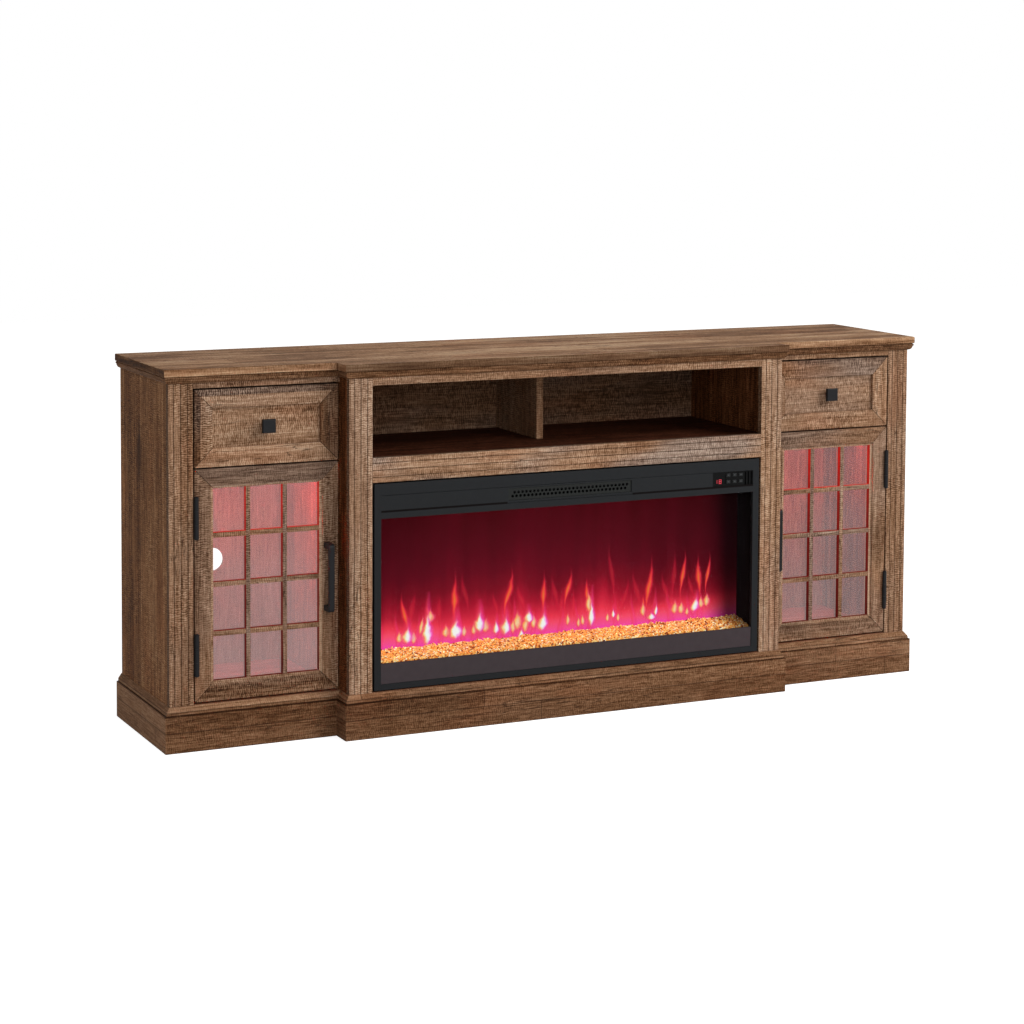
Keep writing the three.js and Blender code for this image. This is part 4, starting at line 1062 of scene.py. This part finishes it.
WHITE_HEARTS = [
    (-0.354, 25, 14, 20, 2), (-0.308, 30, 12, 40, 3), (-0.243, 27, 17, 24, 4), (-0.187, 38, 14, 25, 0),
    (-0.149, 25, 9, 16, 2), (-0.126, 25, 13, 22, 2), (-0.072, 41, 12, 15, 0), (-0.090, 6, 8, 13, 4),
    (-0.038, 26, 13, 22, 8), (0.079, 32, 9, 32, 2), (0.132, 32, 5, 11, 0), (0.226, 18, 12, 9, 0),
    (0.238, 30, 5, 14, 3), (0.336, 33, 11, 17, 10),
]
AMBER_HEARTS = [
    (-0.372, 24, 9, 16, 1), (-0.302, 62, 11, 18, 2), (-0.322, 42, 6, 24, 8), (-0.265, 27, 10, 18, 0),
    (-0.223, 24, 8, 16, 0), (-0.172, 31, 11, 20, 2), (-0.201, 26, 7, 15, 0), (-0.098, 33, 13, 26, 0),
    (-0.079, 26, 9, 26, 4), (-0.109, 24, 8, 20, 0), (-0.060, 30, 8, 20, 0), (0.073, 58, 10, 30, -2),
    (0.048, 20, 6, 14, 1), (0.058, 24, 6, 16, 0), (0.022, 28, 6, 18, 0), (0.118, 25, 5, 13, 0),
    (0.145, 23, 5, 13, 0), (0.206, 33, 8, 20, -2), (0.301, 29, 9, 18, 0), (0.285, 31, 11, 19, 4),
    (0.365, 41, 9, 19, 2), (0.351, 38, 8, 17, 2), (0.316, 22, 6, 12, 0), (-0.340, 20, 8, 18, 0),
]


def flames():
    """Flame pictures in front of the screen: low licks, orange leaves, pink halos and hot hearts."""
    seeded = random.Random(7)
    foot = BED_HIGH.z - 6 * MM
    layer = SCREEN_FRONT - 0.35 * MM

    def step_forward():
        nonlocal layer
        layer -= 0.03 * MM
        return layer

    licks = []
    lick_count, first_lick, lick_span = 18, -0.41, 0.77
    for i in range(lick_count):
        x = first_lick + lick_span * (i + seeded.uniform(-0.3, 0.3)) / (lick_count - 1)
        high, width = foot + seeded.uniform(0.06, 0.11), seeded.uniform(0.025, 0.045)
        licks.append(leaf_sheet(x, foot - 20 * MM, high, width, step_forward()))
    flame_pictures("flame_licks", licks, lick_glow)
    for name, listed, material in (
        ("faint_flame_leaves", FAINT_LEAVES, faint_glow), ("bright_flame_leaves", BRIGHT_LEAVES, bright_glow),
    ):
        leaves = []
        for x, low, high, width in listed:
            reach = (high - low) * MM
            stem, tip = foot + low * MM - reach, foot + high * MM + 0.9 * reach
            leaves.append(leaf_sheet(x, stem, tip, width * 3.6 * MM, step_forward()))
        flame_pictures(name, leaves, material)
    for name, listed, reach, spread, material in (
        ("flame_halos", WHITE_HEARTS, (1.4, 2.2), 3.6, halo_glow),
        ("amber_hearts", AMBER_HEARTS, (0.75, 1.35), 3.0, amber_glow),
        ("white_hearts", WHITE_HEARTS, (0.85, 1.5), 3.0, white_glow),
    ):
        sheets = [heart_sheet(heart, foot, step_forward(), reach, spread) for heart in listed]
        flame_pictures(name, sheets, material)


def shard(seeded, centre, size):
    """One chip of crushed glass: an uneven double pyramid."""

    def some(low, high):
        return size * seeded.uniform(low, high)

    x, y, z = centre
    turn = seeded.uniform(0, math.tau)
    girth = []
    for i in range(5):
        angle = turn + math.tau * i / 5 + seeded.uniform(-0.3, 0.3)
        reach = some(0.7, 1.15)
        girth.append((x + reach * math.cos(angle), y + reach * math.sin(angle), z + some(-0.35, 0.35)))
    top = (x + some(-0.3, 0.3), y + some(-0.3, 0.3), z + some(0.5, 0.95))
    bottom = (x, y, z - some(0.5, 0.9))
    faces = [(i, (i + 1) % 5, 5) for i in range(5)] + [((i + 1) % 5, i, 6) for i in range(5)]
    return [*girth, top, bottom], faces


def ember_heap():
    """Crushed glass over the whole bed, deeper towards the screen."""
    seeded = random.Random(3)
    half = GLASS_HIGH.x - 8 * MM
    front, back = BED_LOW.y + 2 * MM, BED_HIGH.y - 3 * MM
    face, slope, swell = BED_LOW.z + 47.5 * MM, 11 * MM, 2.2 * MM
    columns, rows = 150, 9
    parts = []
    for row in range(rows):
        share = row / (rows - 1)
        for column in range(columns):
            x = -half + 2 * half * (column + seeded.uniform(-0.5, 0.5)) / (columns - 1)
            x = max(-half, min(half, x))
            y = front + (back - front) * share + seeded.uniform(-1.5, 1.5) * MM
            z = face + slope * share + swell * math.sin(x * 61) * share + seeded.uniform(-1.5, 1.0) * MM
            parts.append(shard(seeded, (x, y, z), seeded.uniform(2.6, 4.6) * MM))
    shown("ember_shards", joined(parts), ember_glass, "stand")
    dressed("ember_bed", ember_glass, 0)


# Strokes of a figure, each from one to another of four uprights and of six levels, and the lit ones
STROKES = {
    "a": (0, 3, 4, 5), "b": (0, 1, 3, 4), "c": (2, 3, 1, 2), "d": (0, 3, 0, 1), "e": (0, 1, 1, 2),
    "f": (2, 3, 3, 4), "g": (0, 3, 2, 3),
}
LIT_STROKES = {"1": "cf", "8": "abcdefg"}


def display_digits():
    """The lit figures in the control panel's window, each made of up to seven strokes."""
    low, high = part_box("control_panel")
    window_depth, proud, thick = 1.2 * MM, 0.25 * MM, 0.2 * MM
    margin, pitch, drop = 5.5 * MM, 10.5 * MM, 4 * MM
    tall, wide, bar = 9.5 * MM, 6.2 * MM, 1.1 * MM
    front = low.y + window_depth - proud
    foot = (low.z + high.z) / 2 - tall / 2 - drop
    levels = [foot + rise for rise in (0, bar, (tall - bar) / 2, (tall + bar) / 2, tall - bar, tall)]
    parts = []
    for place, figure in enumerate("18"):
        x = low.x + margin + place * pitch
        uprights = [x, x + bar, x + wide - bar, x + wide]
        for stroke in LIT_STROKES[figure]:
            start, end, bottom, top = STROKES[stroke]
            near = (uprights[start], front, levels[bottom])
            parts.append(block(near, (uprights[end], front + thick, levels[top])))
    shown("display_digits", joined(parts), lit_sign_finish(), "stand")


def key_marks():
    """A small raised mark on each button, which moves with it."""
    long, thin, tall = 2.0 * MM, 0.55 * MM, 2.0 * MM / 1.4
    for i in BUTTONS:
        low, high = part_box(f"control_button_{i}")
        x, z = (low.x + high.x) / 2, (low.z + high.z) / 2
        near, far = low.y - 0.12 * MM, low.y + 0.18 * MM
        parts = [block((x - long, near, z - thin), (x + long, far, z + thin))]
        if i % 2:
            parts.append(block((x - thin, near, z - tall), (x + thin, far, z + tall)))
        shown(f"key_mark_{i}", joined(parts), key_print, f"button_{i}")


# Screws of the back

SCREW_RADIUS = 3.4 * MM
SCREW_RISE = 0.55 * SCREW_RADIUS
SCREW_DOME = ((1.0, 0.0), (1.0, 0.35), (0.8, 0.75), (0.45, 1.0))


def screw_head(centre):
    """A domed screw head that faces the back, and the two bars of its cross slot, laid on in black as painted
    shade.
    """
    x, y, z = centre
    rings = []
    for share, rise in SCREW_DOME:
        reach, back = SCREW_RADIUS * share, y + SCREW_RISE * rise
        turns = [math.tau * i / 12 for i in range(12)]
        rings.append([(x + reach * math.cos(a), back, z + reach * math.sin(a)) for a in turns])
    level = y + SCREW_RISE
    bars = []
    for long, thin in ((0.4, 0.1), (0.1, 0.4)):
        wide, high = SCREW_RADIUS * long, SCREW_RADIUS * thin
        bars.append(block((x - wide, level, z - high), (x + wide, level + 0.05 * MM, z + high)))
    return prism(rings), bars


def back_screws():
    """Screws that hold the three back panels."""
    heads, slots = [], []
    edge, corner = 9 * MM, 14 * MM
    for name, columns in (("left_back_panel", 3), ("centre_back_panel", 6), ("right_back_panel", 3)):
        low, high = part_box(name)
        step = (high.x - low.x - 2 * corner) / (columns - 1)
        level = [low.x + corner + step * i for i in range(columns)]
        spots = [(x, z) for x in level for z in (low.z + edge, high.z - edge)]
        rise = [low.z + (high.z - low.z) * i / 4 for i in (1, 2, 3)]
        spots += [(x, z) for x in (low.x + edge, high.x - edge) for z in rise]
        for x, z in spots:
            head, bars = screw_head((x, high.y, z))
            heads.append(head)
            slots += bars
    shown("back_panel_screws", joined(heads), screw_steel, "stand")
    shown("back_panel_screw_slots", joined(slots), slot_painted_shade, "stand")


# The stand put together

carcass()
for side_name in SIDES:
    door(side_name)
    drawer_front(side_name)
fire_body()
firebox_lining()
bezel_shade_strips()
flames()
ember_heap()
display_digits()
key_marks()
back_screws()


# Studio


def seen_white(lighting, white):
    """One surface shader for lighting, and a white one for the camera, in gloss and through glass."""
    tree = lighting.tree
    path = results(tree.nodes.new("ShaderNodeLightPath"))
    seen = calc("MAXIMUM", path["Is Camera Ray"], path["Is Glossy Ray"])
    seen = calc("MAXIMUM", seen, path["Is Transmission Ray"])
    return Signal(wire(tree, "ShaderNodeMixShader", {0: seen, 1: lighting, 2: white}).outputs[0])


def studio_world():
    world = bpy.data.worlds.new("studio")
    bpy.context.scene.world = world
    world.use_nodes = True
    tree = world.node_tree
    tree.nodes.clear()
    light = wire(tree, "ShaderNodeBackground", {"Color": (1, 1, 1, 1), "Strength": 0.42})
    white = wire(tree, "ShaderNodeBackground", {"Color": (1, 1, 1, 1), "Strength": 1.0})
    surface = seen_white(results(light)["Background"], results(white)["Background"])
    wire(tree, "ShaderNodeOutputWorld", {"Surface": surface})


def studio_floor():
    half, level = 9, -0.4 * MM
    corners = [(-half, -half, level), (half, -half, level), (half, half, level), (-half, half, level)]
    mesh = bpy.data.meshes.new("studio_floor")
    mesh.from_pydata(corners, [], [(0, 1, 2, 3)])
    floor = bpy.data.objects.new("studio_floor", mesh)
    bpy.context.scene.collection.objects.link(floor)
    material, tree, shader = finish("pale_floor")
    tone = noise(coordinates(tree)["Object"], 2.0)
    plug(shader, {"Base Color": tinted(tone, (0.78, 0.78, 0.78), (0.8, 0.8, 0.8))})
    plug(shader, {"Roughness": 0.9, "Specular IOR Level": 0.0})
    matte = results(shader)["BSDF"]
    lift = wire(tree, "ShaderNodeEmission", {"Color": (1, 1, 1, 1), "Strength": 0.8})
    bright = wire(tree, "ShaderNodeAddShader", {0: matte, 1: results(lift)["Emission"]})
    plug(tree.nodes["Material Output"], {"Surface": seen_white(matte, results(bright)["Shader"])})
    mesh.materials.append(material)


def lamp(name, place, target, size, power):
    data = bpy.data.lights.new(name, "AREA")
    data.shape, data.size, data.size_y = "RECTANGLE", size[0], size[1]
    data.energy = power
    thing = bpy.data.objects.new(name, data)
    thing.location = place
    thing.rotation_euler = (Vector(target) - Vector(place)).to_track_quat("-Z", "Y").to_euler()
    bpy.context.scene.collection.objects.link(thing)


def photo_camera():
    """The photograph's viewpoint: a long lens from the upper left, turned down four degrees."""
    place = (-2.3699, -4.8743, 1.3289)
    yaw, pitch, roll = -0.44253, math.radians(-4), 0.00532
    aimed = Matrix.Rotation(yaw, 4, "Z") @ Matrix.Rotation(math.pi / 2 + pitch, 4, "X")
    data = bpy.data.cameras.new("photo_camera")
    data.lens, data.sensor_width = 87.77, 36
    data.shift_y = -0.2414
    data.clip_start, data.clip_end = 0.1, 60
    camera = bpy.data.objects.new("photo_camera", data)
    camera.matrix_world = Matrix.Translation(place) @ aimed @ Matrix.Rotation(roll, 4, "Z")
    bpy.context.scene.collection.objects.link(camera)
    bpy.context.scene.camera = camera


studio_world()
studio_floor()
lamp("key_lamp", (2.6, -3.6, 3.2), (0, 0, 0.4), (2.4, 2.4), 178)
lamp("front_lamp", (-1.2, -4.8, 1.8), (0, 0, 0.4), (2.0, 1.6), 50)
photo_camera()
bpy.context.scene.view_settings.view_transform = "Standard"
